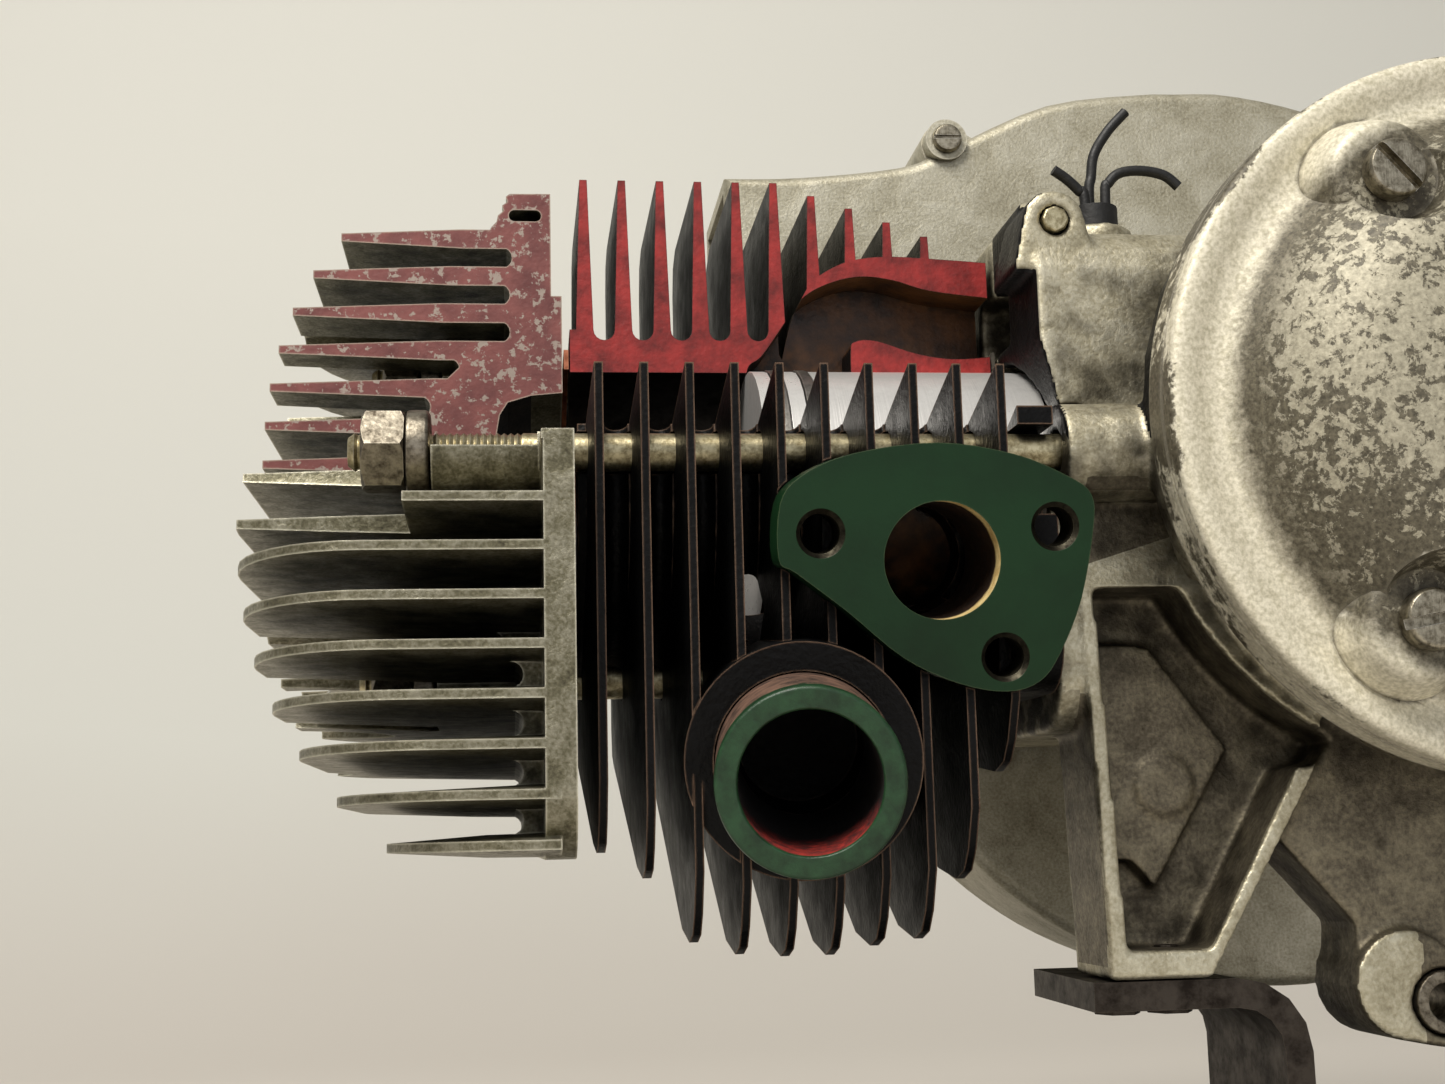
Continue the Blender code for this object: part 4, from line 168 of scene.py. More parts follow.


# Painted shade: the mask is 1 where the Ambient Occlusion node finds a hollow, which is then darkened.
def painted_shade_in_hollows(tree, where, reach, *pattern):
    closed = put(tree, "AmbientOcclusion", Distance=reach * MM, samples=6).outputs["AO"]
    shade = put(tree, "Math", {0: 1.25, 1: closed}, operation="SUBTRACT")
    return in_patches(tree, where, shade, *pattern)


print("helpers ready")

# %% [markdown]
# Cast aluminium left as it came from the mould: a warm grey, dull metal with a sandy skin. The mottling is
# oxide and old oil, in patches of some millimetres, with darker specks. Light catches its rubbed edges.

# %% Cast aluminium finishes
def cast_aluminium(name, pale, middle, dark, grain=0.9, patch=9.0, roughness=0.46, rubbed="#d2cdbc",
                   hollow_shade_colour="#2b261d", reach=22.0, start=0.30, full=0.62):
    material, tree, shader, where = new_finish(name, 0.75, roughness)
    cloud = put(tree, "TexNoise", Vector=where, Scale=per_mm(patch), Detail=8.0, Roughness=0.68,
                Distortion=0.4)
    skin = put(tree, "TexNoise", Vector=where, Scale=per_mm(grain), Detail=4.0, Roughness=0.6)
    tone = put(tree, "Mix", {0: 0.42, 2: cloud, 3: skin})
    base = put(tree, "ValToRGB", {"Fac": tone}, [(0.30, dark), (0.46, middle), (0.62, pale)])
    worn = edge_wear(tree, where, 0.8, 3.0, 0.02, 0.16)
    clean = put(tree, "Mix", {0: worn, 6: base, 7: rubbed}, data_type="RGBA")
    # Painted shade: hollows found by Ambient Occlusion are darkened towards the given colour.
    shade_in_hollow_mask = painted_shade_in_hollows(tree, where, reach, 6.0, start, full)
    with_painted_shade = put(tree, "Mix", {0: shade_in_hollow_mask, 6: clean, 7: hollow_shade_colour}, data_type="RGBA")
    dull = put(tree, "MapRange", {"Value": tone, **span(0.3, 0.7, roughness + 0.16, roughness - 0.06)})
    fine = put(tree, "Bump", Height=skin, Strength=0.35, Distance=0.00035)
    coarse = put(tree, "Bump", Height=cloud, Strength=0.35, Distance=0.0012, Normal=fine)
    feed(shader, {"Base Color": with_painted_shade, "Roughness": dull, "Normal": coarse})
    return material


# The case's long reach spreads painted shade widely, over its lower part and under the cover's overhang.
case_aluminium = cast_aluminium("sand_cast_aluminium_case", "#d0cab4", "#a7a088", "#5f5846",
                                reach=45.0, start=0.24, full=0.54)
rubbed_aluminium = cast_aluminium("rubbed_edges_of_bracket", "#cfcab4", "#b0a991", "#857e68", roughness=0.36)
# A darker copy of the case aluminium: painted shade for the recessed bracket floor, the cheek beside it and the
# lower arm.
shaded_aluminium = cast_aluminium("painted_shade_on_bracket_floor", "#8a826d", "#676052", "#3d372b",
                                  reach=30.0, start=0.26, full=0.58)
head_aluminium = cast_aluminium("cast_aluminium_head", "#94907e", "#67634f", "#39352a", 0.7, 5.0, 0.38,
                                "#e0dcc8", "#1c1912", 14.0, 0.50, 0.78)
fan_aluminium = cast_aluminium("die_cast_aluminium_fan_housing", "#c6c2b1", "#a9a491", "#7c7663", 0.7, 14.0,
                               0.5)
print("cast aluminium:", case_aluminium.name, head_aluminium.name, fan_aluminium.name)

# %% [markdown]
# Paint over iron or alloy: a brushed coat with slight waves, rubbed through at the edges to what is below.
# The black cylinder shows rust brown there, the green flange a pale line, and the red section coat bare
# metal.

# %% Painted finishes
def brushed_paint(name, coat, shade, below, roughness, wave=0.25, edge=0.5, start=0.03, full=0.12, patch=6.0,
                  chips=None, chip_size=2.5, chip_cut=0.70, gloss=0.5, hollow_shade_colour=None):
    material, tree, shader, where = new_finish(name, 0.0, roughness)
    cloud = put(tree, "TexNoise", Vector=where, Scale=per_mm(patch), Detail=7.0, Roughness=0.62)
    base = put(tree, "ValToRGB", {"Fac": cloud}, [(0.34, shade), (0.60, coat)])
    worn = edge_wear(tree, where, edge, 2.5, start, full)
    top = put(tree, "Mix", {0: worn, 6: base, 7: below}, data_type="RGBA")
    if chips:
        flake = put(tree, "TexNoise", Vector=where, Scale=per_mm(chip_size), Detail=5.0, Roughness=0.7)
        bare = put(tree, "MapRange", {"Value": flake, **span(chip_cut, chip_cut + 0.02)})
        top = put(tree, "Mix", {0: bare, 6: top, 7: chips}, data_type="RGBA")
    # Painted shade: with a colour given, hollows found by Ambient Occlusion are darkened to it.
    if hollow_shade_colour:
        shade_in_hollow_mask = painted_shade_in_hollows(tree, where, 14.0, 3.0, 0.25, 0.55)
        top = put(tree, "Mix", {0: shade_in_hollow_mask, 6: top, 7: hollow_shade_colour}, data_type="RGBA")
    sheen = put(tree, "MapRange", {"Value": cloud, **span(0.3, 0.7, roughness - 0.08, roughness + 0.10)})
    dust = put(tree, "TexNoise", Vector=where, Scale=per_mm(1.1), Detail=3.0)
    bump = put(tree, "Bump", Height=dust, Strength=wave, Distance=0.0004)
    feed(shader, {"Specular IOR Level": gloss, "Base Color": top, "Roughness": sheen, "Normal": bump})
    return material


# The black paint and the passage's brown get painted shade in their hollows.
black_paint = brushed_paint("black_paint_on_cast_iron", "#0d0d0e", "#050505", "#77604f", 0.46, 0.6, 0.6,
                            0.020, 0.075, gloss=0.12, hollow_shade_colour="#030303")
green_enamel = brushed_paint("green_enamel_on_flange", "#13321a", "#0d2612", "#5f6b4c", 0.38, 0.10, 0.35,
                             0.05, 0.16, 30.0, "#14241a", 1.2, 0.74, gloss=0.2)
section_red = brushed_paint("crimson_section_paint", "#9a2b29", "#5e1917", "#2b0f0d", 0.5, 0.35, 0.35, 0.03,
                            0.12, 7.0, "#2c1213", 1.6, 0.68, gloss=0.35)
head_red = brushed_paint("worn_crimson_on_head", "#7d4642", "#5f302e", "#b3a796", 0.50, 0.3, 0.6, 0.015, 0.08,
                         9.0, "#988a80", 3.0, 0.55, gloss=0.45)
passage_brown = brushed_paint("burnt_oil_in_passage", "#5c3a1c", "#24140a", "#6a4526", 0.45, 0.3, 0.3, 0.05,
                              0.2, 11.0, gloss=0.35, hollow_shade_colour="#0c0704")
print("paints:", black_paint.name, green_enamel.name, section_red.name, head_red.name)

# %% [markdown]
# The clutch cover has silver paint that has flaked. On the dome the paint stands in fine islands on darker
# bare alloy; the hollow round it is bare and grey; the rim keeps a pale warm coat that is chipped along its
# edge. The distance from the cover's middle says which of the three a point belongs to, and noise breaks
# the borders up.

# %% Flaked silver paint
def flaked_silver(name):
    material, tree, shader, where = new_finish(name, 0.2, 0.52)
    middle = TO_ROW @ COVER
    flat = put(tree, "VectorMath", {0: where, 1: (1, 0, 1)}, operation="MULTIPLY")
    far = put(tree, "VectorMath", {0: flat, 1: (middle.x, 0, middle.z)}, operation="DISTANCE")
    flakes = put(tree, "TexNoise", Vector=where, Scale=per_mm(2.4), Detail=12.0, Roughness=0.72,
                 Distortion=0.3)
    regions = put(tree, "TexNoise", Vector=where, Scale=per_mm(30.0), Detail=2.0)
    level = put(tree, "Math", {0: regions, 1: 0.45, 2: flakes}, operation="MULTIPLY_ADD")
    on_dome = put(tree, "MapRange", {"Value": level, **span(0.706, 0.728)})
    dome = put(tree, "MapRange", {"Value": far, **span(0.048, 0.056, 1.0, 0.0)},
               interpolation_type="SMOOTHSTEP")
    dome_paint = put(tree, "Math", {0: on_dome, 1: dome}, operation="MULTIPLY")
    ragged = put(tree, "Math", {0: flakes, 1: 0.006, 2: far}, operation="MULTIPLY_ADD")
    rim = put(tree, "MapRange", {"Value": ragged, **span(0.0585, 0.0625)})
    both = put(tree, "Math", {0: dome_paint, 1: rim}, operation="MAXIMUM")
    torn = put(tree, "Math", {0: regions, 1: 0.012, 2: ragged}, operation="MULTIPLY_ADD")
    kept = put(tree, "MapRange", {"Value": torn, **span(0.0788, 0.0794, 1.0, 0.0)})
    left = put(tree, "Math", {0: both, 1: kept}, operation="MULTIPLY")
    grain = put(tree, "TexNoise", Vector=where, Scale=per_mm(0.9), Detail=5.0, Roughness=0.65)
    alloy = put(tree, "ValToRGB", {"Fac": grain}, [(0.36, "#403b2e"), (0.64, "#6c6655")])
    # Painted shade: the dome's coat is a darker copy of the rim's silver paint, set against the key light on
    # the dome.
    shaded_dome_coat = put(tree, "ValToRGB", {"Fac": grain}, [(0.34, "#878270"), (0.64, "#b3ad98")])
    rim_coat = put(tree, "ValToRGB", {"Fac": grain}, [(0.34, "#b9b39b"), (0.64, "#e9e3cf")])
    paint = put(tree, "Mix", {0: dome, 6: rim_coat, 7: shaded_dome_coat}, data_type="RGBA")
    coat = put(tree, "Mix", {0: left, 6: alloy, 7: paint}, data_type="RGBA")
    worn = edge_wear(tree, where, 1.6, 5.0, 0.02, 0.05)
    chipped = put(tree, "Mix", {0: worn, 6: coat, 7: "#6a6557"}, data_type="RGBA")
    # Painted shade: the cover's hollows are darkened.
    shade_in_hollow_mask = painted_shade_in_hollows(tree, where, 16.0, 5.0, 0.30, 0.65)
    colour = put(tree, "Mix", {0: shade_in_hollow_mask, 6: chipped, 7: "#352e22"}, data_type="RGBA")
    step = put(tree, "Bump", Height=left, Strength=0.45, Distance=0.00012)
    sand = put(tree, "Bump", Height=grain, Strength=0.35, Distance=0.0003, Normal=step)
    feed(shader, {"Base Color": colour, "Normal": sand})
    return material


silver_paint = flaked_silver("flaked_silver_paint_on_cover")
print("cover:", silver_paint.name)

# %% [markdown]
# Bare metals: machined steel and turned alloy carry fine tool lines, drawn here by noise squeezed along one
# axis. Zinc plating is yellowish and blotched, copper is redder, and black steel has a thin scale that
# scuffs.

# %% Machined and plated metals
def worked_metal(name, pale, dark, roughness, lines, depth, blotch, edge="#d8d5cc", metallic=1.0):
    material, tree, shader, where = new_finish(name, metallic, roughness)
    stretch = put(tree, "Mapping", Vector=where, Scale=tuple(map(per_mm, lines)))
    tool = put(tree, "TexNoise", Vector=stretch, Scale=1.0, Detail=3.0)
    cloud = put(tree, "TexNoise", Vector=where, Scale=per_mm(blotch), Detail=8.0, Roughness=0.7)
    base = put(tree, "ValToRGB", {"Fac": cloud}, [(0.36, dark), (0.58, pale)])
    worn = edge_wear(tree, where, 0.3, 2.0, 0.03, 0.2)
    colour = put(tree, "Mix", {0: worn, 6: base, 7: edge}, data_type="RGBA")
    dull = put(tree, "MapRange", {"Value": cloud, **span(0.3, 0.7, roughness + 0.12, roughness - 0.05)})
    bump = put(tree, "Bump", Height=tool, Strength=0.6, Distance=depth)
    feed(shader, {"Base Color": colour, "Roughness": dull, "Normal": bump})
    return material


yellow_zinc = worked_metal("yellow_zinc_plated_steel", "#c2b897", "#83785a", 0.36, (0.8, 0.8, 0.8), 0.0001,
                           1.3)
dull_zinc = worked_metal("dulled_zinc_on_nut", "#8f887a", "#4b443a", 0.40, (1.2, 1.2, 1.2), 0.00015, 2.2,
                         "#c4bdac")
turned_alloy = worked_metal("turned_piston_alloy", "#e6e5e2", "#cfcecb", 0.30, (0.25, 60, 60), 0.00006, 9.0,
                            metallic=0.6)
ground_steel = worked_metal("ground_steel", "#b4b2ae", "#8d8a85", 0.28, (40, 0.3, 40), 0.00006, 6.0)
forged_steel = worked_metal("forged_steel_rod", "#8d8982", "#5c5750", 0.42, (2, 2, 2), 0.0002, 3.0)
screw_steel = worked_metal("plated_screw_steel", "#a7a08e", "#5d5647", 0.36, (0.3, 3, 3), 0.0001, 1.8)
ring_iron = worked_metal("grey_iron_ring", "#9d9a94", "#6f6c67", 0.34, (0.2, 40, 40), 0.00006, 3.0)
copper_sheet = worked_metal("annealed_copper_gasket", "#b8765a", "#7c4a36", 0.4, (3, 3, 3), 0.0001, 3.0,
                            "#d69a7c")
scale_steel = worked_metal("hot_rolled_black_steel", "#4c4640", "#2e2925", 0.50, (4, 4, 4), 0.0003, 5.0,
                           "#6f675e")
base_black = brushed_paint("satin_black_base_plate", "#202021", "#161617", "#4a4845", 0.45, 0.15, 0.8, 0.03,
                           0.15, 40)
gasket_board = brushed_paint("pressed_gasket_board", "#4a453b", "#332f28", "#5a5448", 0.8, 0.6, 0.3, 0.1, 0.3,
                             1.5)
wire_rubber = brushed_paint("black_rubber_insulation", "#151515", "#0c0c0c", "#3a3938", 0.55, 0.3, 0.2, 0.1,
                            0.4, 2)
plug_ceramic = brushed_paint("glazed_ceramic_insulator", "#e6e2d6", "#cfc9b8", "#e6e2d6", 0.18, 0.02, 0.2,
                             0.2, 0.6, 12.0)
print("metals:", yellow_zinc.name, turned_alloy.name, ground_steel.name, scale_steel.name)

# %% [markdown]
# Shapes are built in millimetres with bmesh: prisms from an outline, turned shapes from a profile, blocks and
# rods. Booleans join and cut them as casting and machining do, and a small bevel breaks every sharp edge.

# %% Shape helpers
CUT, ADD, KEEP = "DIFFERENCE", "UNION", "INTERSECT"


def outward(shape):
    bmesh.ops.recalc_face_normals(shape, faces=shape.faces)
    if shape.calc_volume(signed=True) < 0:
        bmesh.ops.reverse_faces(shape, faces=shape.faces)
    return shape


def prism(outline, axis, low, high):
    """Each outline point is two numbers; the place along the axis goes before, between or after them."""
    index = "XYZ".index(axis)
    shape = bmesh.new()
    near, far = ([shape.verts.new((*pair[:index], along, *pair[index:])) for pair in outline]
                 for along in (low, high))
    for i in range(len(outline)):
        j = (i + 1) % len(outline)
        shape.faces.new((near[i], near[j], far[j], far[i]))
    shape.faces.new(near)
    shape.faces.new(far)
    return outward(shape)


def aimed(start, direction):
    return Matrix.Translation(Vector(start)) @ Z.rotation_difference(Vector(direction)).to_matrix().to_4x4()


def lathe(profile, start, direction, steps=64, phase=0.37):
    shape = bmesh.new()
    turns = [math.tau * (i + phase) / steps for i in range(steps)]
    rings = []
    for radius, along in profile:
        if radius <= 0:
            rings.append([shape.verts.new((0, 0, along))] * steps)
        else:
            rings.append([shape.verts.new((radius * math.cos(turn), radius * math.sin(turn), along))
                          for turn in turns])
    pairs = list(zip(rings, rings[1:]))
    if profile[0][0] > 0 or profile[-1][0] > 0:
        pairs.append((rings[-1], rings[0]))
    for one, two in pairs:
        for i in range(steps):
            j = (i + 1) % steps
            corners = list(dict.fromkeys((one[i], one[j], two[j], two[i])))
            if len(corners) > 2:
                shape.faces.new(corners)
    shape.transform(aimed(start, direction))
    return outward(shape)


def rod(start, end, radius, steps=48):
    way = Vector(end) - Vector(start)
    return lathe([(0, 0), (radius, 0), (radius, way.length), (0, way.length)], start, way, steps)


def block(low, high):
    corners = [(low[0], low[1]), (high[0], low[1]), (high[0], high[1]), (low[0], high[1])]
    return prism(corners, "Z", low[2], high[2])


def joined(shapes):
    whole = bmesh.new()
    for shape in shapes:
        mesh = bpy.data.meshes.new("joined")
        shape.to_mesh(mesh)
        shape.free()
        whole.from_mesh(mesh)
        bpy.data.meshes.remove(mesh)
    return whole


def rods(places, way, near, far, radius, steps=48):
    return joined(rod(place + way * near, place + way * far, radius, steps) for place in places)


def hull(points):
    shape = bmesh.new()
    for place in points:
        shape.verts.new(place)
    result = bmesh.ops.convex_hull(shape, input=shape.verts)
    spare = {item for item in result["geom_interior"] + result["geom_unused"]
             if isinstance(item, bmesh.types.BMVert)}
    bmesh.ops.delete(shape, geom=list(spare), context="VERTS")
    return outward(shape)


def curve_through(points, steps=4):
    smooth = []
    last = len(points) - 1
    for i in range(last):
        a, b, c, d = (Vector(points[min(max(k, 0), last)]) for k in range(i - 1, i + 3))
        for t in (k / steps for k in range(steps)):
            smooth.append(0.5 * (2 * b + (c - a) * t + (2 * a - 5 * b + 4 * c - d) * t * t
                                 + (3 * b - a - 3 * c + d) * t ** 3))
    smooth.append(Vector(points[-1]))
    return [tuple(place) for place in smooth]


def round_box(low, high, radius, steps=6):
    points = []
    corners = ((high[0], high[1]), (low[0], high[1]), (low[0], low[1]), (high[0], low[1]))
    for quarter, (cx, cy) in enumerate(corners):
        sx, sy = (1 if cx == high[0] else -1), (1 if cy == high[1] else -1)
        for k in range(steps + 1):
            turn = math.radians(90 * quarter + 90 * k / steps)
            points.append((cx - sx * radius + radius * math.cos(turn),
                           cy - sy * radius + radius * math.sin(turn)))
    return points


# %% [markdown]
# Making a piece takes three moves: build the solid, break its edges with a bevel, and hand it to a CAD body.
# Weighted normals keep the big faces flat beside the small bevel faces, as on a part from a machine shop.

# %% Piece helpers
def temporary(shape, name):
    mesh = bpy.data.meshes.new(name)
    shape.to_mesh(mesh)
    shape.free()
    return linked(name, mesh)


def shape_of(item):
    """The object's mesh as a shape; the object itself is taken away."""
    shape = bmesh.new()
    shape.from_mesh(item.data)
    bpy.data.objects.remove(item)
    return shape


def settle(item):
    graph = bpy.context.evaluated_depsgraph_get()
    graph.update()
    mesh = bpy.data.meshes.new_from_object(item.evaluated_get(graph))
    item.modifiers.clear()
    item.data = mesh


def change(item, kind, **settings):
    modifier = item.modifiers.new(kind.lower(), kind)
    for name, value in settings.items():
        setattr(modifier, name, value)


def merge_close(item, distance=0.002):
    shape = bmesh.new()
    shape.from_mesh(item.data)
    bmesh.ops.remove_doubles(shape, verts=shape.verts, dist=distance)
    bmesh.ops.dissolve_degenerate(shape, edges=shape.edges, dist=distance / 2)
    loose = sum(1 for edge in shape.edges if len(edge.link_faces) != 2)
    shape.to_mesh(item.data)
    shape.free()
    return loose


def built(name, first, steps=()):
    item = temporary(first, name) if isinstance(first, bmesh.types.BMesh) else first
    for kind, shape in steps:
        tool = temporary(shape, name + "_tool")
        change(item, "BOOLEAN", operation=kind, solver="EXACT", object=tool)
        settle(item)
        bpy.data.objects.remove(tool)
        print("  ", name, kind, "loose edges", merge_close(item), "faces", len(item.data.polygons))
    return item


def soften(item, width, segments=2, smooth=35):
    shape = bmesh.new()
    shape.from_mesh(item.data)
    bmesh.ops.remove_doubles(shape, verts=shape.verts, dist=0.004)
    bmesh.ops.dissolve_limit(shape, angle_limit=math.radians(0.6), verts=shape.verts, edges=shape.edges)
    shape.to_mesh(item.data)
    shape.free()
    if width:
        change(item, "BEVEL", width=width, segments=segments, limit_method="ANGLE",
               angle_limit=math.radians(30), use_clamp_overlap=True)
        settle(item)
    item.data.shade_smooth()
    item.data.set_sharp_from_angle(angle=math.radians(smooth))
    change(item, "WEIGHTED_NORMAL", keep_sharp=True)
    settle(item)


def hand_over(item, node, finish, others=(), body="engine"):
    """others are (finish, test) pairs: a test takes a face's middle and normal, and a later pair wins."""
    item.data.materials.clear()
    for coat in [finish] + [coat for coat, _ in others]:
        item.data.materials.append(coat)
    for face in item.data.polygons:
        face.material_index = max(
            [0] + [number for number, (_, test) in enumerate(others, 1) if test(face.center, face.normal)])
    item.data.transform(TO_ROW)
    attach(item, body)
    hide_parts(node)
    print("made", item.name, len(item.data.polygons), "faces, on", body)


def piece(item, width, node, finish, others=(), body="engine", segments=2, smooth=35):
    soften(item, width, segments, smooth)
    hand_over(item, node, finish, others, body)


print("shape and piece helpers ready")

# %% [markdown]
# Three thin wires leave the engine through a rubber grommet on the crankcase: ignition and lighting leads
# that were cut short for the display. Each is one smooth curve with a round section, and its route repeats
# the CAD solid's points. The first 18.5 mm of each is inside the grommet and the case.

# %% Wires
GROMMET_TOP = Vector((118.5, 9.0, 68.8))
WIRE_SINK = 18.5
WIRE_RADIUS = 1.2
WIRES = (
    ((-2.4, -1.4), ((0, 0, 2), (-1.2, 0, 4.2), (-4.2, -0.5, 6.8), (-7.2, -1, 8.6))),
    ((0.0, 2.6), ((0, 0, 4), (0.8, 0.3, 9), (1.8, 0.3, 14.5), (5.2, 0, 20), (9.5, -0.5, 24.6))),
    ((2.4, -1.4), ((0, 0, 3), (1, 0, 6.2), (3.8, 0, 8.6), (8.8, 0, 9.2), (14, 0, 8.2), (17.2, 0, 5.6))),
)
for number, (place, route) in enumerate(WIRES, 1):
    foot = GROMMET_TOP + Vector((*place, 0))
    points = [foot - Z * WIRE_SINK] + [foot + Vector(step) for step in route]
    line = [TO_ROW @ Vector(point) for point in curve_through(points, 8)]
    data = bpy.data.curves.new(f"cut_wire_{number}", "CURVE")
    data.dimensions = "3D"
    data.bevel_depth = WIRE_RADIUS * MM * 0.98
    data.bevel_resolution = 4
    data.use_fill_caps = True
    data.materials.append(wire_rubber)
    spline = data.splines.new("POLY")
    spline.points.add(len(line) - 1)
    for point, spot in zip(spline.points, line):
        point.co = (*spot, 1)
    wire = linked(f"cut_wire_{number}", data)
    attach(wire, "engine")
    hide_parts(f"wire_{number}")

# %% [markdown]
# The studio is a pale paper sweep: a floor that curves up into a wall behind the engine, so no line shows
# where they meet. The paper is drawn greyer at the foot than at the top, as painted shade. One large soft
# lamp stands at the upper left, a weak one in front, and an even sky fills the shadows.

# %% Floor, backdrop and light
paper, tree, shader, where = new_finish("pale_studio_paper", 0.0, 0.95)
cloud = put(tree, "TexNoise", Vector=where, Scale=per_mm(700.0), Detail=2.0)
split = put(tree, "SeparateXYZ", Vector=where)
# Painted shade: the paper is darker towards the bottom, with a little random mottle.
height = put(tree, "MapRange", {"Value": split.outputs["Z"], "From Max": 0.8})
mottle_and_painted_shade = put(tree, "Math", {0: cloud, 1: 0.12, 2: height}, operation="MULTIPLY_ADD")
tone = put(tree, "ValToRGB", {"Fac": mottle_and_painted_shade}, [(0.04, "#c9c3bb"), (0.30, "#dadad3"), (0.85, "#e8e8e1")])
feed(shader, {"Base Color": tone})
BEND_START = 0.55
BEND_RADIUS = 0.6
bend = [(-1.6, 0.0), (BEND_START, 0.0)]
for turn in map(math.radians, range(6, 91, 6)):
    bend.append((BEND_START + BEND_RADIUS * math.sin(turn), BEND_RADIUS - BEND_RADIUS * math.cos(turn)))
bend.append((BEND_START + BEND_RADIUS, 3.0))
sweep = bmesh.new()
rows = [[sweep.verts.new((x, y, z)) for x in (-3.0, 3.0)] for y, z in bend]
for one, two in zip(rows, rows[1:]):
    sweep.faces.new((one[0], one[1], two[1], two[0]))
backdrop = temporary(sweep, "paper_sweep")
backdrop.data.materials.append(paper)
backdrop.data.shade_smooth()
LIT_PLACE = Vector((0, 0, 0.17))
for name, place, size, power, colour in (
    ("key", (-0.60, -0.75, 1.40), 0.8, 31.0, "#fffaf2"),
    ("fill", (0.2, -1.5, 0.5), 1.2, 3.0, "#f4f7ff"),
):
    lamp = linked(name, bpy.data.lights.new(name, "AREA"))
    lamp.data.shape = "DISK"
    lamp.data.size = size
    lamp.data.energy = power
    lamp.data.color = linear(colour)[:3]
    lamp.location = place
    lamp.rotation_euler = (LIT_PLACE - Vector(place)).to_track_quat("-Z", "Y").to_euler()
world = bpy.data.worlds.new("studio_sky")
bpy.context.scene.world = world
world.use_nodes = True
feed(world.node_tree.nodes["Background"], {"Color": "#f3f1ee", "Strength": 0.33})
bpy.context.scene.view_settings.view_transform = "Standard"
print("lamps and sky ready")

# %% [markdown]
# Every CAD node gets the finish of the real part. Those that a finer piece replaces later keep it too, so the
# plain model looks right on its own. A name stands for all the nodes that only add a number to it.

# %% Finishes of the CAD nodes
finish_of = {name: finish for finish, names in (
    (black_paint, "cylinder"),
    (head_aluminium, "cylinder_head"),
    (green_enamel, "inlet_flange"),
    (passage_brown, "exhaust_stub"),
    (copper_sheet, "head_gasket"),
    (gasket_board, "base_gasket"),
    (plug_ceramic, "spark_plug"),
    (turned_alloy, "piston"),
    (ring_iron, "piston_ring"),
    (ground_steel, "gudgeon_pin pin_clip crank_pin bearing_front bearing_back"),
    (forged_steel, "connecting_rod crank_half_front crank_half_back clutch_drum"),
    (case_aluminium, "crankcase_front crankcase_back"),
    (yellow_zinc, "case_pin stud head_nut"),
    (dull_zinc, "mount_bush clutch_nut flywheel_nut head_washer"),
    (silver_paint, "side_cover"),
    (fan_aluminium, "fan_housing fan_cover flywheel_fan"),
    (wire_rubber, "wire_grommet wire"),
    (scale_steel, "stand_strap"),
    (base_black, "base_plate"),
    (screw_steel, "cover_screw fan_screw foot_bolt strap_screw"),
) for name in names.split()}
for name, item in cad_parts.items():
    item.data.materials.clear()
    item.data.materials.append(finish_of[name.rstrip("_1234")])
print("finished nodes", len(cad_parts))

# %% [markdown]
# The cylinder is cast iron with ten tapered fins. A caster leaves round roots between fins, so the barrel is
# turned from a scalloped profile: each slot ends in a half circle. Fins are hulls from a thick root to a thin
# rim. The display cut then takes away the front upper quarter, and the cut shows the wall and the passage.

# %% Cylinder: fins and barrel
FIN_PITCH = 8.2
FIRST_FIN = 3.2
FIN_COUNT = 10
FIN_ROOT = 4.2
FIN_TIP = 1.6
FIN_SIDE = 56.0
FIN_TOPS = (70.8, 70.8, 70.8, 70.8, 70.8, 70.8, 68.0, 65.3, 62.3, 59.2)
FIN_DROPS = (71.1, 75.8, 87.3, 89.6, 90.2, 90.2, 88.8, 87.8, 77.3, 58.0)


def cylinder_fin(index):
    middle = FIRST_FIN + FIN_PITCH * index
    top, drop, wide, corner, root = FIN_TOPS[index], FIN_DROPS[index], FIN_SIDE, 9.0, 0.42
    back = min(52.0, drop - corner)
    outline = [(-wide, top - corner), (-wide + 1.6, top - 3), (-wide + 5.4, top), (wide - corner, top),
               (wide - 2.6, top - 2.6), (wide, top - corner), (wide, -back + corner),
               (wide - 2.6, -back + 2.6), (wide - corner, -back), (-wide * 0.50, -drop + 1.8),
               (-wide * 0.75, -drop), (-wide * 0.86, -drop + 1.6), (-wide * 0.93, -drop + 5.4),
               (-wide, -drop + 12.6)]
    points = []
    for side in (-1, 1):
        points += [(middle + side * FIN_TIP / 2, y, z) for y, z in outline]
        points += [(middle + side * FIN_ROOT / 2, y * wide * root, z)
                   for y, z in ((-1, -drop * root), (-1, top * root), (1, top * root), (1, -drop * root))]
    return hull(points)


def scalloped_barrel():
    slot = (FIN_PITCH - FIN_ROOT) / 2 + 0.25
    profile = [(0, 0), (BARREL + slot, 0)]
    for index in range(FIN_COUNT - 1):
        middle = FIRST_FIN + FIN_PITCH * (index + 0.5)
        for k in range(9):
            turn = math.pi * k / 8
            profile.append((BARREL + slot - slot * math.sin(turn), middle - slot * math.cos(turn)))
    end = [(BARREL + slot, 78.6), (BARREL + 0.6, 80.2), (BARREL, 82.0), (BARREL, CYLINDER), (0, CYLINDER)]
    return lathe(profile + end, (0, 0, 0), X, 96)


print("fin tops", FIN_TOPS)

# %% [markdown]
# The transfer passage is a bulge on top of the barrel that carries the fresh charge from the crankcase to
# the bore. The section opens it: a curved roof, a hooked floor, and a wall 5 mm thick. Smooth curves
# through a few measured points give both outlines.

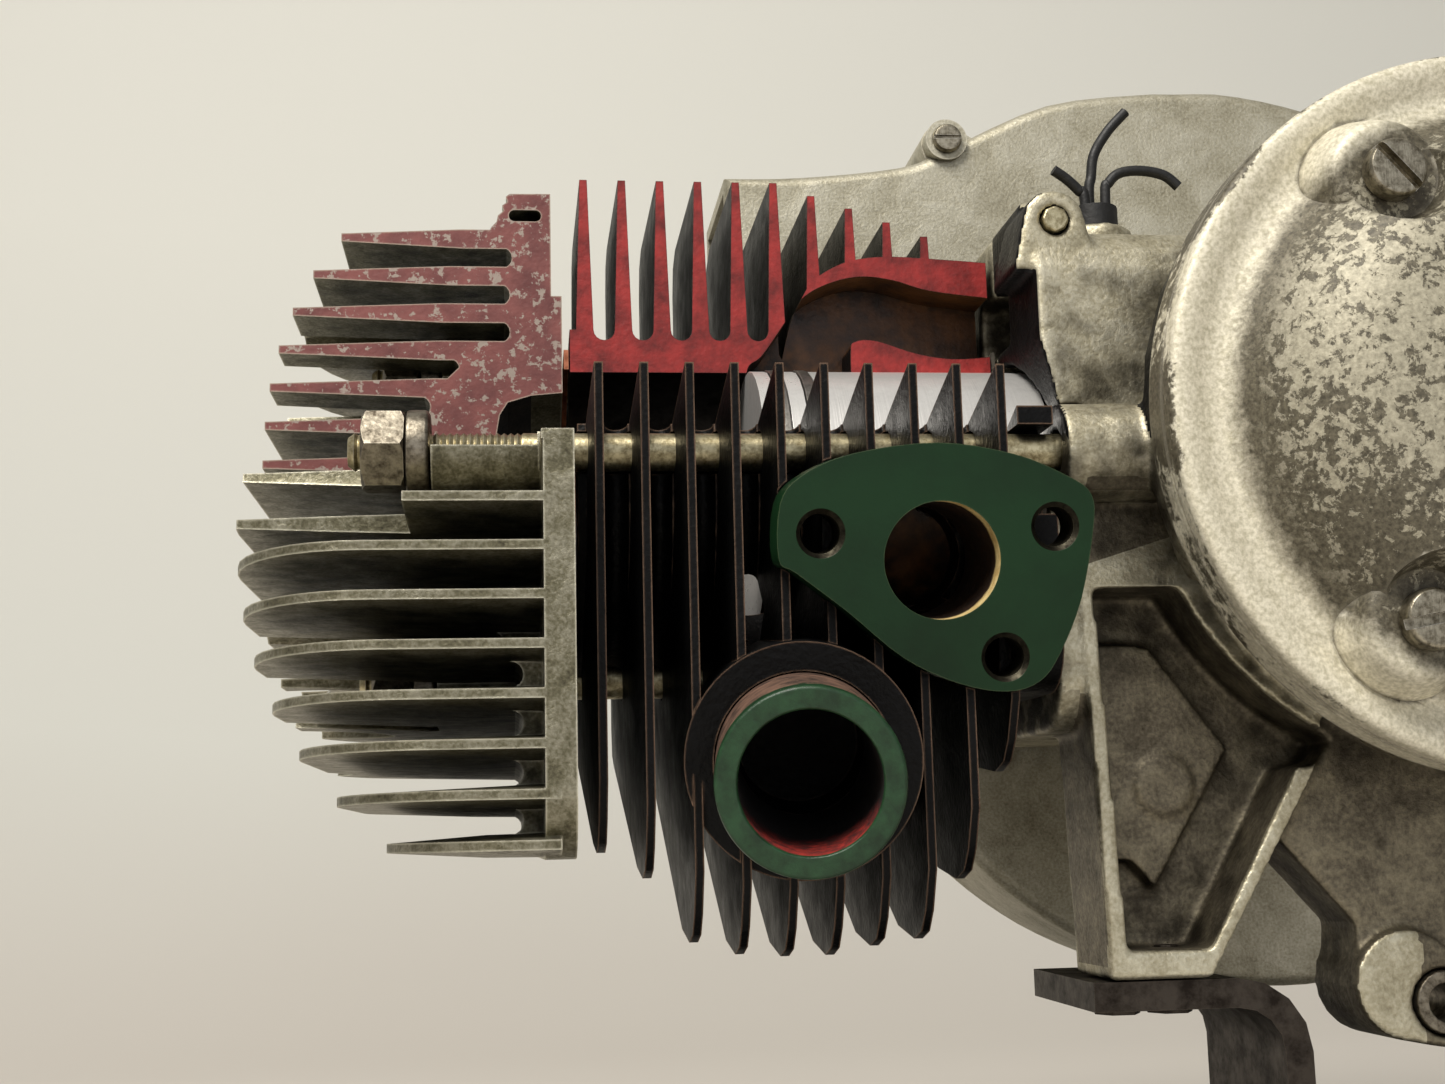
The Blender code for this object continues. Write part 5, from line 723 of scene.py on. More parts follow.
# %% Cylinder: passage, ports and cuts
BULGE = [(45.3, 27.3), (49.8, 45.2), (57.0, 52.1), (67.0, 54.5), (81.5, 54.0), (90.5, 53.4)]
PASSAGE_ROOF = [(36.9, 21.8), (37.6, 29.4), (40.7, 32.2), (45.3, 38.7), (49.5, 44.7), (55.2, 48.2),
                (62.4, 50.0), (69.7, 49.3), (77.8, 47.0), (91.5, 45.4)]
PASSAGE_FLOOR = [(91.5, 32.4), (82.4, 31.8), (74.2, 33.0), (65.6, 35.7), (61.1, 35.5), (60.0, 33.2),
                 (60.0, 21.8)]
PORT_WAY = Vector((0, 0.9877, 0.1564))
INLET = Vector((63.3, -62.0, -21.4))
INLET_TILT = Matrix.Rotation(math.radians(9), 4, "X")
INLET_BORE = 10.5
INLET_NECK = 15.0
FLANGE_SHARES = [(-1.0, 0.07), (-0.99, 0.51), (-0.86, 0.73), (-0.54, 0.91), (0.0, 1.0), (0.49, 0.91),
                 (0.84, 0.73), (0.99, 0.58), (1.0, 0.31), (0.92, -0.26), (0.78, -0.70), (0.65, -0.92),
                 (0.44, -1.0), (0.13, -0.93), (-0.22, -0.72), (-0.57, -0.35), (-0.89, -0.04)]
EXHAUST = Vector((34.3, -88.0, -60.8))
EXHAUST_WAY = Vector((0.12037, 0.98037, 0.15643)).normalized()
EXHAUST_BORE = 11.6
EXHAUST_TUBE = 15.4
EXHAUST_BOSS = 20.9
STUD_BORE = 4.2
SLOPE = math.tan(math.radians(20))


def flange_slab(near, far, grow=0.0):
    corners = [((28.4 + grow) * x - 0.9, (22.1 + grow) * z - 1.3) for x, z in FLANGE_SHARES]
    round_about = curve_through(corners[-2:] + corners + corners[:2])
    slab = prism(round_about[8:8 + 4 * len(corners)], "Y", near, far)
    slab.transform(Matrix.Translation(INLET) @ INLET_TILT)
    return slab


quarter = [(0, FAR), (-FAR, FAR), (-FAR, 6 + (FAR - BORE) * SLOPE), (0, 6 - BORE * SLOPE)]
port_middle = Vector((EXHAUST.x, 0, 0))
port = Vector((0, math.cos(math.radians(225)), math.sin(math.radians(225)))) * 46
near_stud = STUDS[0]
cylinder = built("sectioned_cylinder", scalloped_barrel(), [
    (ADD, joined(cylinder_fin(i) for i in range(FIN_COUNT))),
    (ADD, prism(curve_through(BULGE, 5) + [(CYLINDER, 0), (CYLINDER / 2, 0)], "Y", -16, 16)),
    (ADD, prism(round_box((-43, -43), (43, 43), 10), "X", CYLINDER - 7, CYLINDER)),
    (ADD, rods([EXHAUST], EXHAUST_WAY, 30, 72, EXHAUST_BOSS, 64)),
    (CUT, rod((-1, 0, 0), (CYLINDER + 1, 0, 0), BORE, 96)),
    (CUT, prism(quarter, "X", -1, CYLINDER + 1)),
    (CUT, prism(curve_through(PASSAGE_ROOF, 5) + curve_through(PASSAGE_FLOOR, 5), "Y", -18, 11)),
    (CUT, flange_slab(-1, 9 + GAP, GAP)),
    (CUT, rods([INLET], PORT_WAY, 0, 26 + GAP, INLET_NECK + GAP)),
    (CUT, rods([INLET], PORT_WAY, 0, 45, INLET_BORE)),
    (CUT, rods([EXHAUST], EXHAUST_WAY, 0, 46 + GAP, EXHAUST_TUBE + GAP)),
    (CUT, rods([EXHAUST], EXHAUST_WAY, 0, 64, EXHAUST_BORE)),
    (CUT, rod(port_middle, port_middle + port, 8)),
    (CUT, rods(STUDS, X, -1, CYLINDER + 1, STUD_BORE, 32)),
    (CUT, block((82.6, near_stud.y - 20, near_stud.z - 13), (91.5, near_stud.y + 4.3, near_stud.z + 4.4))),
])
rubbed_edge = brushed_paint("rubbed_paint_on_cut_fins", "#2f2826", "#141111", "#8f766c", 0.42, 0.5, 0.5, 0.02,
                            0.08, 3.0, "#8a6f64", 1.3, 0.58)
# Painted shade: the honed bore is drawn much darker than bare iron, for the inside of the bore.
honed_iron = worked_metal("honed_bore", "#4c4a48", "#232120", 0.35, (40, 0.4, 0.4), 0.00008, 8.0, "#8a8884")
piece(cylinder, 0.35, "cylinder", black_paint, [
    (rubbed_edge, lambda c, n: n.z > 0.9 and 0.28 < n.y < 0.40 and c.y < 0.2),
    (section_red, lambda c, n: n.y < -0.9 and abs(c.y) < 0.1 and c.z > -5),
    (passage_brown, lambda c, n: 37 < c.x < 91 and 0.15 < c.y < 11.2 and 21.5 < c.z < 50.6 and abs(n.x) < 0.99),
    (honed_iron, lambda c, n: c.y ** 2 + c.z ** 2 < 28.7 ** 2 and abs(n.x) < 0.9 and abs(c.y) > 0.15),
])

# %% [markdown]
# The head is an aluminium casting: a plate with long thin fins that run forward and back, and the combustion
# chamber in the middle. Near the chamber the slots between the fins stop early in a round end, which a filler
# block with a hollow end gives. The display cut opens the upper front quarter and is painted crimson.

# %% Head: fins, fillers and cuts
HEAD_FACE = -1.6
HEAD_PLATE = -7.0
HEAD_WIDE = 66.0
TOP_FIN = 57.3
HEAD_FINS = [TOP_FIN - 8.1 * i for i in range(8)] + [-10.3 - 8.45 * i for i in range(8)]


def head_fin(middle):
    reach = 63.0 - 15.5 * (abs(middle) / TOP_FIN) ** 3
    start = 4.3
    points = []
    for side in (-1, 1):
        rim, root = middle + side * 0.85, middle + side * 2.1
        for face in (-1, 1):
            points.append((-start, face * HEAD_WIDE, rim))
            for turn in map(math.radians, range(0, 100, 10)):
                wide = HEAD_WIDE - 35 + 35 * math.cos(turn)
                points.append((-(reach - 25 + 25 * math.sin(turn)), face * wide, rim))
            points.append((-start, face * HEAD_WIDE * 0.84, root))
            points.append((-start - (reach - start) * 0.42, face * HEAD_WIDE * 0.42, root))
    return hull(points)


def slot_end(middle, end, half, radius=2.3):
    outline = [(-4.6, middle - 3), (-4.6, middle + 3), (end - radius, middle + 3)]
    for k in range(9):
        turn = math.pi / 2 - math.pi * k / 8
        outline.append((end - radius + radius * math.cos(turn), middle + radius * math.sin(turn)))
    outline.append((end - radius, middle - 3))
    return prism(outline, "Y", -half, half)


slots = [(53.25, -12.0, 27), (45.15, -12.5, 27), (37.05, -12.5, 27), (28.95, -23.0, 26), (20.85, -29.0, 25),
         (12.75, -29.0, 25), (4.65, -30.0, 22), (-4.85, -30.0, 22), (-14.5, -28.0, 22), (-23.0, -24.0, 22),
         (-31.4, -14.0, 26), (-39.9, -10.5, 54), (-48.3, -10.5, 52), (-56.8, -10.5, 48), (-65.2, -10.5, 44)]
broken_lug = [(-4.6, 58.0), (-17.2, 58.0), (-16.3, 60.0), (-15.2, 61.2), (-14.9, 62.6), (-13.7, 63.6),
              (-14.0, 64.8), (-12.9, 65.6), (-13.2, 66.8), (-12.4, 67.4), (-4.6, 67.5)]
lug_slot = [(x - 9.2, z + 62.6) for x, z in round_box((-3.4, -1.25), (3.4, 1.25), 1.2)]
core = [(0, -1.0), (36, -1.0), (36, 7.8), (33.0, 16.9), (26.0, 23.9), (0, 26.0)]
chamber = [(0, -1), (24.0, -1), (24.0, 0), (23.4, 6.5), (21.9, 11.4), (19.2, 13.1), (13.6, 14.0), (7.0, 14.2),
           (0, 14.2)]
plug_lean, plug_turn = math.radians(45), math.radians(-57)
plug_way = Vector((-math.cos(plug_lean), math.sin(plug_lean) * math.cos(plug_turn),
                   math.sin(plug_lean) * math.sin(plug_turn)))
plug_foot = [Vector((-10.0, 3.0, -5.0))]
away = [(0, FAR), (-FAR, FAR), (-FAR, 1.5), (-66, 1.5), (-48, 5.5), (0, 5.5)]
plate = prism(round_box((-HEAD_WIDE, -72), (HEAD_WIDE, 67.5), 12), "X", HEAD_PLATE, HEAD_FACE)
head = built("sectioned_head", plate, [
    (ADD, joined(map(head_fin, HEAD_FINS))),
    (ADD, joined(slot_end(*slot) for slot in slots)),
    (CUT, block((-FAR, -FAR, -3), (HEAD_PLATE - GAP, -28, FAR))),
    (ADD, lathe(core, (HEAD_FACE - 1, 0, 0), -X, 96)),
    (ADD, prism(broken_lug, "Y", -3, 29)),
    (ADD, rods(STUDS, X, -31.4, -4.3, 8.2, 40)),
    (ADD, rods(plug_foot, plug_way, 0.3, 23, 13.5)),
    (CUT, block((HEAD_FACE - 2.2, -FAR, 45), (1, FAR, FAR))),
    (CUT, lathe(chamber, (HEAD_FACE, 0, 0), -X, 96)),
    (CUT, rods(STUDS, X, -72, -27.0, 11.2, 44)),
    (CUT, rods(STUDS, X, -71, 1, STUD_BORE, 32)),
    (CUT, rods(plug_foot, plug_way, -18.5, FAR, 7.3, 40)),
    (CUT, rods(plug_foot, plug_way, 18.5, FAR, 13.5)),
    (CUT, prism(away, "X", -FAR, 1)),
    (CUT, block((-FAR, -FAR, -14), (-31, -38, FAR))),
    (CUT, block((-40, -50, 3.0), (HEAD_PLATE - 0.6, -27.5, FAR))),
    (CUT, prism(lug_slot, "Y", -4, 24)),
])
soot = brushed_paint("burnt_carbon_in_chamber", "#241f1b", "#0e0c0b", "#4a4038", 0.8, 0.8, 0.3, 0.05, 0.3,
                     3.0)
piece(head, 0.35, "cylinder_head", head_aluminium, [
    (head_red, lambda c, n: n.y < -0.9 and abs(c.y) < 0.1 and c.z > 5.3),
    (soot, lambda c, n: c.x > -15.9 and c.y ** 2 + c.z ** 2 < 24.1 ** 2 and n.x > 0.1),
])

# %% [markdown]
# The carburettor flange is a plate with a smooth three-cornered outline and a short neck that goes into the
# barrel, painted green by hand. Its bore is cream inside, and its three holes are threaded, which shows as
# fine rings. The cylinder was cut to its shape with 0.3 mm of room, so the two never share space.

# %% Inlet flange
def ringed_bore(start, way, depth, radius):
    profile = [(0, -1.2), (radius + 0.9, -1.2), (radius + 0.9, 0.0), (radius, 0.9)]
    rings = int(depth - 1.0)
    for k in range(rings):
        profile += [(radius + 0.28, 0.9 + (k + 0.5)), (radius, 0.9 + (k + 1))]
    profile.append((0, 0.9 + rings))
    return lathe(profile, start, way, 32)


def depth_and_distance(place, start, way):
    deep = (place - start).dot(way)
    return deep, (place - start - way * deep).length


def depth_mask(tree, where, start, way):
    dot = put(tree, "VectorMath", {0: where, 1: tuple(way)}, operation="DOT_PRODUCT")
    return put(tree, "Math", {0: dot, 1: (TO_ROW @ start).dot(way)}, operation="SUBTRACT")


def by_depth(name, start, way, border, blend, first, second, ragged_by, patch, roughness, fleck=0.5):
    """first and second are (dark, pale) pairs of hex colours for the shallow and the deep part of a bore."""
    material, tree, shader, where = new_finish(name, 0.0, roughness)
    ragged = put(tree, "TexNoise", Vector=where, Scale=per_mm(patch), Detail=7.0, Roughness=0.7)
    depth = depth_mask(tree, where, start, way)
    shifted = put(tree, "Math", {0: ragged, 1: ragged_by * MM, 2: depth}, operation="MULTIPLY_ADD")
    deep = put(tree, "MapRange", {"Value": shifted, **span(border * MM, (border + blend) * MM)})
    one, two = (put(tree, "ValToRGB", {"Fac": ragged}, [(0.36, dark), (0.62, pale)])
                for dark, pale in (first, second))
    coat = put(tree, "Mix", {0: deep, 6: one, 7: two}, data_type="RGBA")
    bump = put(tree, "Bump", Height=ragged, Strength=fleck, Distance=0.0006)
    feed(shader, {"Base Color": coat, "Normal": bump})
    return material, tree, shader, where, deep, coat


bolt_places = [INLET_TILT @ Vector((x, 0, z)) + INLET for x, z in ((-21.8, 4.8), (20.5, 5.9), (11.3, -17.3))]
flange = built("green_inlet_flange", flange_slab(0, 9), [
    (ADD, rods([INLET], PORT_WAY, 4.5, 26, INLET_NECK, 64)),
    (CUT, rods([INLET], PORT_WAY, -1, 27, INLET_BORE, 96)),
    (CUT, joined(ringed_bore(place, PORT_WAY, 11.2, 3.55) for place in bolt_places)),
    (CUT, rod((0, 0, 0), (CYLINDER, 0, 0), 32, 64)),
])
inlet_lining = by_depth("cream_lip_and_oily_bore", INLET, PORT_WAY, 5.0, 1.2, ("#b3955a", "#dcc890"),
                        ("#130c06", "#2e1d10"), 4.0, 3.0, 0.55)[0]
dark_threads = worked_metal("oiled_screw_threads", "#3b382f", "#1c1a16", 0.45, (1, 1, 1), 0.0001, 1.5,
                            "#8a8570")


def in_thread(c, n):
    near_bolt = min(depth_and_distance(c, place, PORT_WAY)[1] for place in bolt_places) < 4.2
    return near_bolt and depth_and_distance(c, INLET, PORT_WAY)[0] > 0.06


def in_inlet(c, n):
    deep, distance = depth_and_distance(c, INLET, PORT_WAY)
    return distance < 10.7 and deep > 0.1


def behind_flange(c, n):
    deep, distance = depth_and_distance(c, INLET, PORT_WAY)
    return deep > 8.9 and distance > 11


piece(flange, 0.5, "inlet_flange", green_enamel,
      [(dark_threads, in_thread), (inlet_lining, in_inlet), (black_paint, behind_flange)], segments=3)

# %% [markdown]
# The exhaust tube is steel, pushed into its boss. Green paint covers its rim and runs out into brown rust a
# few millimetres back; inside, red lead shows at the bottom and soot takes over deeper in. The finish
# follows the depth along the tube, measured with a dot product, and noise makes the border uneven.

# %% Exhaust tube
def tube_coat():
    material, tree, shader, where, deep, coat = by_depth(
        "green_rim_on_rusty_tube", EXHAUST, EXHAUST_WAY, 12.5, 1.5, ("#152c1a", "#24452b"),
        ("#2c2420", "#75594a"), 16.0, 5.0, 0.42)
    worn = edge_wear(tree, where, 0.5, 2.0, 0.03, 0.12)
    colour = put(tree, "Mix", {0: worn, 6: coat, 7: "#7d7a62"}, data_type="RGBA")
    dull = put(tree, "MapRange", {"Value": deep, "To Min": 0.34, "To Max": 0.62})
    feed(shader, {"Specular IOR Level": 0.35, "Base Color": colour, "Roughness": dull})
    return material


def tube_lining():
    material, tree, shader, where = new_finish("red_lead_and_soot_lining", 0.0, 0.75)
    depth = depth_mask(tree, where, EXHAUST, EXHAUST_WAY)
    flecks = put(tree, "TexNoise", Vector=where, Scale=per_mm(2.2), Detail=8.0, Roughness=0.75)
    split = put(tree, "SeparateXYZ", Vector=where)
    bottom = (TO_ROW @ EXHAUST).z - EXHAUST_BORE * MM
    height = put(tree, "Math", {0: split.outputs["Z"], 1: bottom}, operation="SUBTRACT")
    lowness = put(tree, "MapRange", {"Value": height, **span(0.001, 0.011, 1.0, 0.0)})
    near = put(tree, "MapRange", {"Value": depth, **span(0.006, 0.022, 1.0, 0.0)})
    reach = put(tree, "Math", {0: lowness, 1: near}, operation="MULTIPLY")
    broken = put(tree, "Math", {0: reach, 1: flecks}, operation="MULTIPLY")
    amount = put(tree, "MapRange", {"Value": broken, **span(0.10, 0.46)})
    red = put(tree, "ValToRGB", {"Fac": flecks}, [(0.40, "#5e1410"), (0.60, "#a8281c")])
    colour = put(tree, "Mix", {0: amount, 6: "#120d0b", 7: red}, data_type="RGBA")
    bump = put(tree, "Bump", Height=flecks, Strength=0.9, Distance=0.0008)
    feed(shader, {"Base Color": colour, "Normal": bump})
    return material


def in_tube(c, n):
    deep, distance = depth_and_distance(c, EXHAUST, EXHAUST_WAY)
    return distance < 11.9 and deep > 0.4


profile = [(EXHAUST_BORE, 0.5), (EXHAUST_BORE + 0.5, 0.0), (EXHAUST_TUBE - 0.7, 0.0),
           (EXHAUST_TUBE - 0.2, 0.2), (EXHAUST_TUBE, 0.7)]
profile += [(EXHAUST_TUBE - 0.06 * (k % 2), 0.7 + 1.5 * k) for k in range(1, 30)]
profile += [(EXHAUST_TUBE, 46.0), (EXHAUST_BORE, 46.0)]
profile += [(EXHAUST_BORE + 0.08 * (k % 2), 46.0 - 1.5 * k) for k in range(1, 30)]
stub = temporary(lathe(profile, EXHAUST, EXHAUST_WAY, 128), "green_rimmed_exhaust_tube")
piece(stub, 0, "exhaust_stub", tube_coat(), [(tube_lining(), in_tube)], smooth=50)

# %% [markdown]
# The clutch cover is a pressed and turned alloy lid: a raised rim band, a groove, and a flat-topped dome.
# It is turned from one profile with every corner rounded, then three screw seats are sunk into the dome's
# shoulder, each on a boss that reaches down to the crankcase.

# %% Clutch cover
SEAT = 19.5
cover_screws = [Vector((COVER.x + 50 * math.cos(turn), 0, COVER.z + 50 * math.sin(turn)))
                for turn in map(math.radians, (124, 236, 0))]
seats = [Vector((place.x, COVER.y, place.z)) for place in cover_screws]
dome = [(0.0, 33.0), (8, 32.95), (20.85, 32.5), (29, 31.5), (34.75, 30.4), (40, 28.6), (44.5, 25.8),
        (48.5, 22.2), (51.5, 18.6), (54.0, 15.2), (56.2, 12.6), (58.2, 11.0), (60.2, 10.4), (62.4, 10.6),
        (64.4, 11.3), (66.2, 11.9)]
rim = [(67.2, 12.0), (68.2, 11.9), (69.0, 11.4), (69.4, 10.8), (69.5, 10.2), (69.5, 7.6), (69.1, 7.2),
       (69.1, 6.6), (69.5, 6.2), (69.5, GAP), (0, GAP)]
inner = [(0, -1), (56.8, -1), (56.8, GAP), (54.5, 8.8), (52.2, 12.0), (49.5, 16.0), (46.0, 20.0),
         (42.5, 23.0), (38.5, 25.4), (33.4, 27.2), (27.0, 28.4), (19.9, 29.2), (0.0, 29.7)]
skirt = [(0, SEAT), (8.4, SEAT), (9.8, SEAT - 0.3), (10.8, SEAT - 1.2), (11.6, SEAT - 3.0), (13.6, 10.4),
         (0, 10.4)]
sink = [(0, SEAT), (8.3, SEAT), (9.2, SEAT + 0.5), (10.4, SEAT + 3), (13.5, 36), (0, 36)]
hollow = built("cover_hollow", lathe(inner, COVER, -Y, 160), [(CUT, rods(seats, -Y, 16.6, 34, 12.6))])
cover = built("flaked_clutch_cover", lathe(curve_through(dome, 3) + rim, COVER, -Y, 160), [
    (ADD, joined(lathe(skirt, seat, -Y, 56) for seat in seats)),
    (CUT, shape_of(hollow)),
    (CUT, joined(lathe(sink, seat, -Y, 56, 0.61) for seat in seats)),
    (ADD, rods(cover_screws, Y, COVER.y - SEAT + 1.6, COVER.y - GAP, 8.5, 40)),
    (CUT, rods(cover_screws, Y, -FAR - 20, 0, 3.2, 32)),
])
piece(cover, 0.45, "side_cover", silver_paint, segments=3)

# %% [markdown]
# Cheese-head screws hold the cover. The head is a low cylinder with a rounded top edge and one sawn slot,
# which stands at a different turn on each screw, as screws do after tightening.

# %% Cheese-head screws
def cheese_head(name, node, seat, radius, height, shank, length, slot_turn, slot_wide=1.9, slot_deep=2.0):
    profile = [(0, -height), (radius - 1.1, -height), (radius - 0.45, -height + 0.18),
               (radius - 0.1, -height + 0.65), (radius, -height + 1.2), (radius, -0.25), (radius - 0.25, 0),
               (shank, 0)]
    for k in range(int(length - 1)):
        profile += [(shank - 0.3, k + 0.5), (shank, k + 1)]
    profile += [(shank - 0.6, length), (0, length)]
    half = slot_wide / 2
    blade = block((-half, -radius - 1, -height - 1), (half, radius + 1, -height + slot_deep))
    blade.transform(aimed(seat, Y) @ Matrix.Rotation(math.radians(slot_turn), 4, "Z"))
    piece(built(name, lathe(profile, seat, Y, 40), [(CUT, blade)]), 0.12, node, screw_steel)


for number, (place, turn) in enumerate(zip(cover_screws, (-42, 80, 12)), 1):
    cheese_head(f"cover_screw_with_slot_{number}", f"cover_screw_{number}",
                place + Y * (COVER.y - SEAT - GAP), 5.6, 4.0, 2.9, 25.2, turn)

# %% [markdown]
# Four long studs hold the head down. A stud has a plain shank and a rolled thread at each end, and on the
# front one the nut, the thick collar and the thread show. The threads are rings at 1.25 mm, a little
# coarser than the real 1 mm, so that they show in a picture of this size.

# %% Studs, collars and nuts
def threaded_profile(length, radius, threads, pitch=1.25, depth=0.42):
    profile = [(0, 0), (radius - 0.9, 0)]
    place, gap = 0.6, 0.0
    for start, end in threads:
        if start > place + pitch:
            profile += [(radius, place + gap), (radius, start - 0.3)]
        place, gap = start, 0.4
        while place < end - pitch:
            profile += [(radius - depth, place + 0.05), (radius, place + pitch * 0.5),
                        (radius - depth, place + pitch)]
            place += pitch
    if length - place > pitch:
        profile += [(radius, place + 0.4), (radius, length - 0.6)]
    return profile + [(radius - 0.9, length), (0, length)]


STUD_START = -42.4
STUD_LENGTH = 107.8 - STUD_START
NUT_START = -39.8
NUT_HEIGHT = 7.8
NUT_FLATS = 14.0
COLLAR_START = -31.7
shank = threaded_profile(STUD_LENGTH, 3.6, [(0.6, 33.0), (142.0, 149.6)])
ring = [(3.95, 0.3), (4.3, 0), (7.2, 0), (7.7, 0.25), (7.9, 0.8), (7.9, 3.5), (7.6, 4.1), (7.0, 4.4),
        (4.3, 4.4), (3.95, 4.1)]
cone = [(0, -1), (6.2, -1), (6.9, 0), (8.4, 1.1), (8.4, 6.9), (7.4, NUT_HEIGHT), (0, NUT_HEIGHT)]
corner = NUT_FLATS / math.sqrt(3)
for number, place in enumerate(STUDS, 1):
    stud = temporary(lathe(shank, place + X * STUD_START, X, 32), f"threaded_stud_{number}")
    piece(stud, 0, f"stud_{number}", yellow_zinc, smooth=50)
    collar = temporary(lathe(ring, place + X * COLLAR_START, X, 64), f"turned_collar_{number}")
    piece(collar, 0, f"head_washer_{number}", dull_zinc, smooth=40)
    start = place + X * NUT_START
    way = start + X * NUT_HEIGHT - start
    hexagon = lathe([(0, 0), (corner, 0), (corner, way.length), (0, way.length)], start, way, 6, 0.5)
    nut = built(f"hexagon_nut_{number}", hexagon, [
        (KEEP, lathe(cone, start, X, 64)),
        (CUT, rod(start - X, start + X * 9, 3.9, 40)),
    ])
    piece(nut, 0.3, f"head_nut_{number}", dull_zinc)

# %% [markdown]
# Many CAD nodes already have the right main shape and only lack what a tool or a mould leaves: a broken edge
# and a true round. For these the CAD mesh is copied, its flat faces are merged, and a bevel rounds each edge.
# A sand casting is softer still: it is remeshed in small cells and smoothed, so every inside corner gets a
# fillet as the mould gave it, and then thinned out again.

# %% Copies with broken edges, and castings with soft corners
def copied(node, name):
    item = linked(name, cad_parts[node].data.copy())
    item.data.transform(TO_ROW.inverted())
    merge_close(item)
    return item


def cast(node, name, cell, rounds, keep, others=(), steps=()):
    item = built(name, copied(node, name), steps)
    change(item, "REMESH", mode="VOXEL", voxel_size=cell)
    change(item, "SMOOTH", factor=0.5, iterations=rounds)
    change(item, "DECIMATE", ratio=keep)
    settle(item)
    item.data.shade_smooth()
    hand_over(item, node, case_aluminium, others)


def cut_edge(c, n):
    return c.x < 126 and 4 < c.z < 61 and c.y < 2 and abs(n.y) < 0.55 and (n.x < -0.25 or n.z < -0.3)


# Faces that get the darker copy of the case aluminium as painted shade, where the light from above falls off.
def in_shade(c, n):
    floor = 96 < c.x < 142 and -92 < c.z < -22 and -32.8 < c.y < -12
    arm = c.x > 142 and c.z < -40
    cheek = 96 < c.x < 118 and -22 <= c.z < -3 and n.y < -0.5
    return floor or arm or cheek


def bracket_edge(c, n):
    return n.y < -0.8 and -34.2 < c.y < -32.6 and c.z < -16 and c.x < 160


FLOOR = -18.6
PLATEAU = -22.4
window = [(99.5, -22.7), (100.2, -30), (102.6, -91.7), (119.1, -91.7), (138.3, -58), (143.5, -57), (152, -46),
          (152, -22.7)]
raised = [(96, -32), (113.7, -33), (129, -53.6), (112.5, -80.5), (107.7, -75), (101.6, -75)]
mark = Vector((115.3, PLATEAU, -60.6))
under_cover = rods([Vector((COVER.x, 0, COVER.z))], Y, -70, 0, 67, 128)
recess = built("bracket_recess", prism(window, "Y", -60, FLOOR), [(CUT, under_cover)])
cast("crankcase_front", "cast_crankcase_front", 0.7, 6, 0.22, [
    (black_paint, cut_edge), (shaded_aluminium, in_shade), (rubbed_aluminium, bracket_edge),
], [
    (CUT, shape_of(recess)),
    (ADD, prism(raised, "Y", PLATEAU, FLOOR + 0.6)),
    (ADD, rods([mark], Y, -1, 1, 5.8)),
    (ADD, rods([near_stud], X, 92.2, 106, 9.4)),
    (CUT, rods([near_stud], X, 91, 109, 4.4, 40)),
])
cast("crankcase_back", "cast_crankcase_back", 1.1, 4, 0.25)
# Painted shade: the piston faces seen through the inlet port take the dark passage finish.
piece(copied("piston", "turned_piston"), 0.3, "piston", turned_alloy,
      [(passage_brown, lambda c, n: c.y < -9 and c.z < 1 and c.x > 38)], "piston_body")
for body, pieces in (
    ("piston_body", (("piston_ring_1", "ground_ring_1", 0.15), ("piston_ring_2", "ground_ring_2", 0.15))),
    ("rod_body", (("connecting_rod", "forged_rod", 0.6),)),
    ("crankshaft", (
        ("crank_half_front", "crank_web_front", 0.8), ("crank_half_back", "crank_web_back", 0.8),
        ("crank_pin", "ground_crank_pin", 0.5), ("clutch_drum", "turned_clutch_drum", 0.6),
        ("clutch_nut", "clutch_hexagon_nut", 0.5), ("flywheel_fan", "cast_flywheel_fan", 0.5),
        ("flywheel_nut", "flywheel_hexagon_nut", 0.5))),
    ("engine", (
        ("stand_strap", "bent_steel_strap", 0.9), ("base_plate", "painted_base_plate", 1.6),
        ("spark_plug", "spark_plug_with_ceramic", 0.3), ("case_pin", "lug_pin", 0.5),
        ("mount_bush", "pivot_bush", 0.4), ("wire_grommet", "rubber_grommet", 0.6),
        ("foot_bolt_1", "foot_bolt_head_1", 0.5), ("foot_bolt_2", "foot_bolt_head_2", 0.5))),
):
    for node, name, width in pieces:
        piece(copied(node, name), width, node, finish_of[node.rstrip("_12")], body=body)

# %% [markdown]
# No screw heads show under the strap in the photo, so the two strap screws have heads hardly a millimetre
# thick: the part of each copy below the strap is pressed flat.

# %% Flat strap screws
STRAP_UNDERSIDE = -103.3
for number in (1, 2):
    flat_screw = copied(f"strap_screw_{number}", f"strap_screw_head_{number}")
    for vert in flat_screw.data.vertices:
        if vert.co.z < STRAP_UNDERSIDE + 0.1:
            vert.co.z = STRAP_UNDERSIDE + (vert.co.z - STRAP_UNDERSIDE) * 0.28
    piece(flat_screw, 0.2, f"strap_screw_{number}", scale_steel)

# %% [markdown]
# The fan housing is a thin die casting shaped like a snail: its radius grows slowly round the fan, and a horn
# leads the air to the fins. The outline is a spiral of short steps joined to a smooth curve for the horn. The
# shell is hollow, its front edge is rounded, and three ears take its screws.

# %% Fan housing and its cover plate
FAN = 107.0
FAN_FRONT = 57.4
FAN_ROOM = 62.0
FAN_BACK = 99.0
EAR_FRONT = 60.0
EAR_RADIUS = 5.6
HORN_END = CRANK_X - 1.244 * FAN


def scroll(shares, step=3):
    points = []
    for (turn, share), (next_turn, next_share) in zip(shares, shares[1:]):
        count = max(1, round((next_turn - turn) / step))
        for k in range(count):
            part = k / count
            radius = FAN * (share + (next_share - share) * part)
            angle = math.radians(turn + (next_turn - turn) * part)
            points.append((CRANK_X + radius * math.cos(angle), radius * math.sin(angle)))
    return points


def from_shares(shares):
    return [(CRANK_X + FAN * x, FAN * z) for x, z in shares]


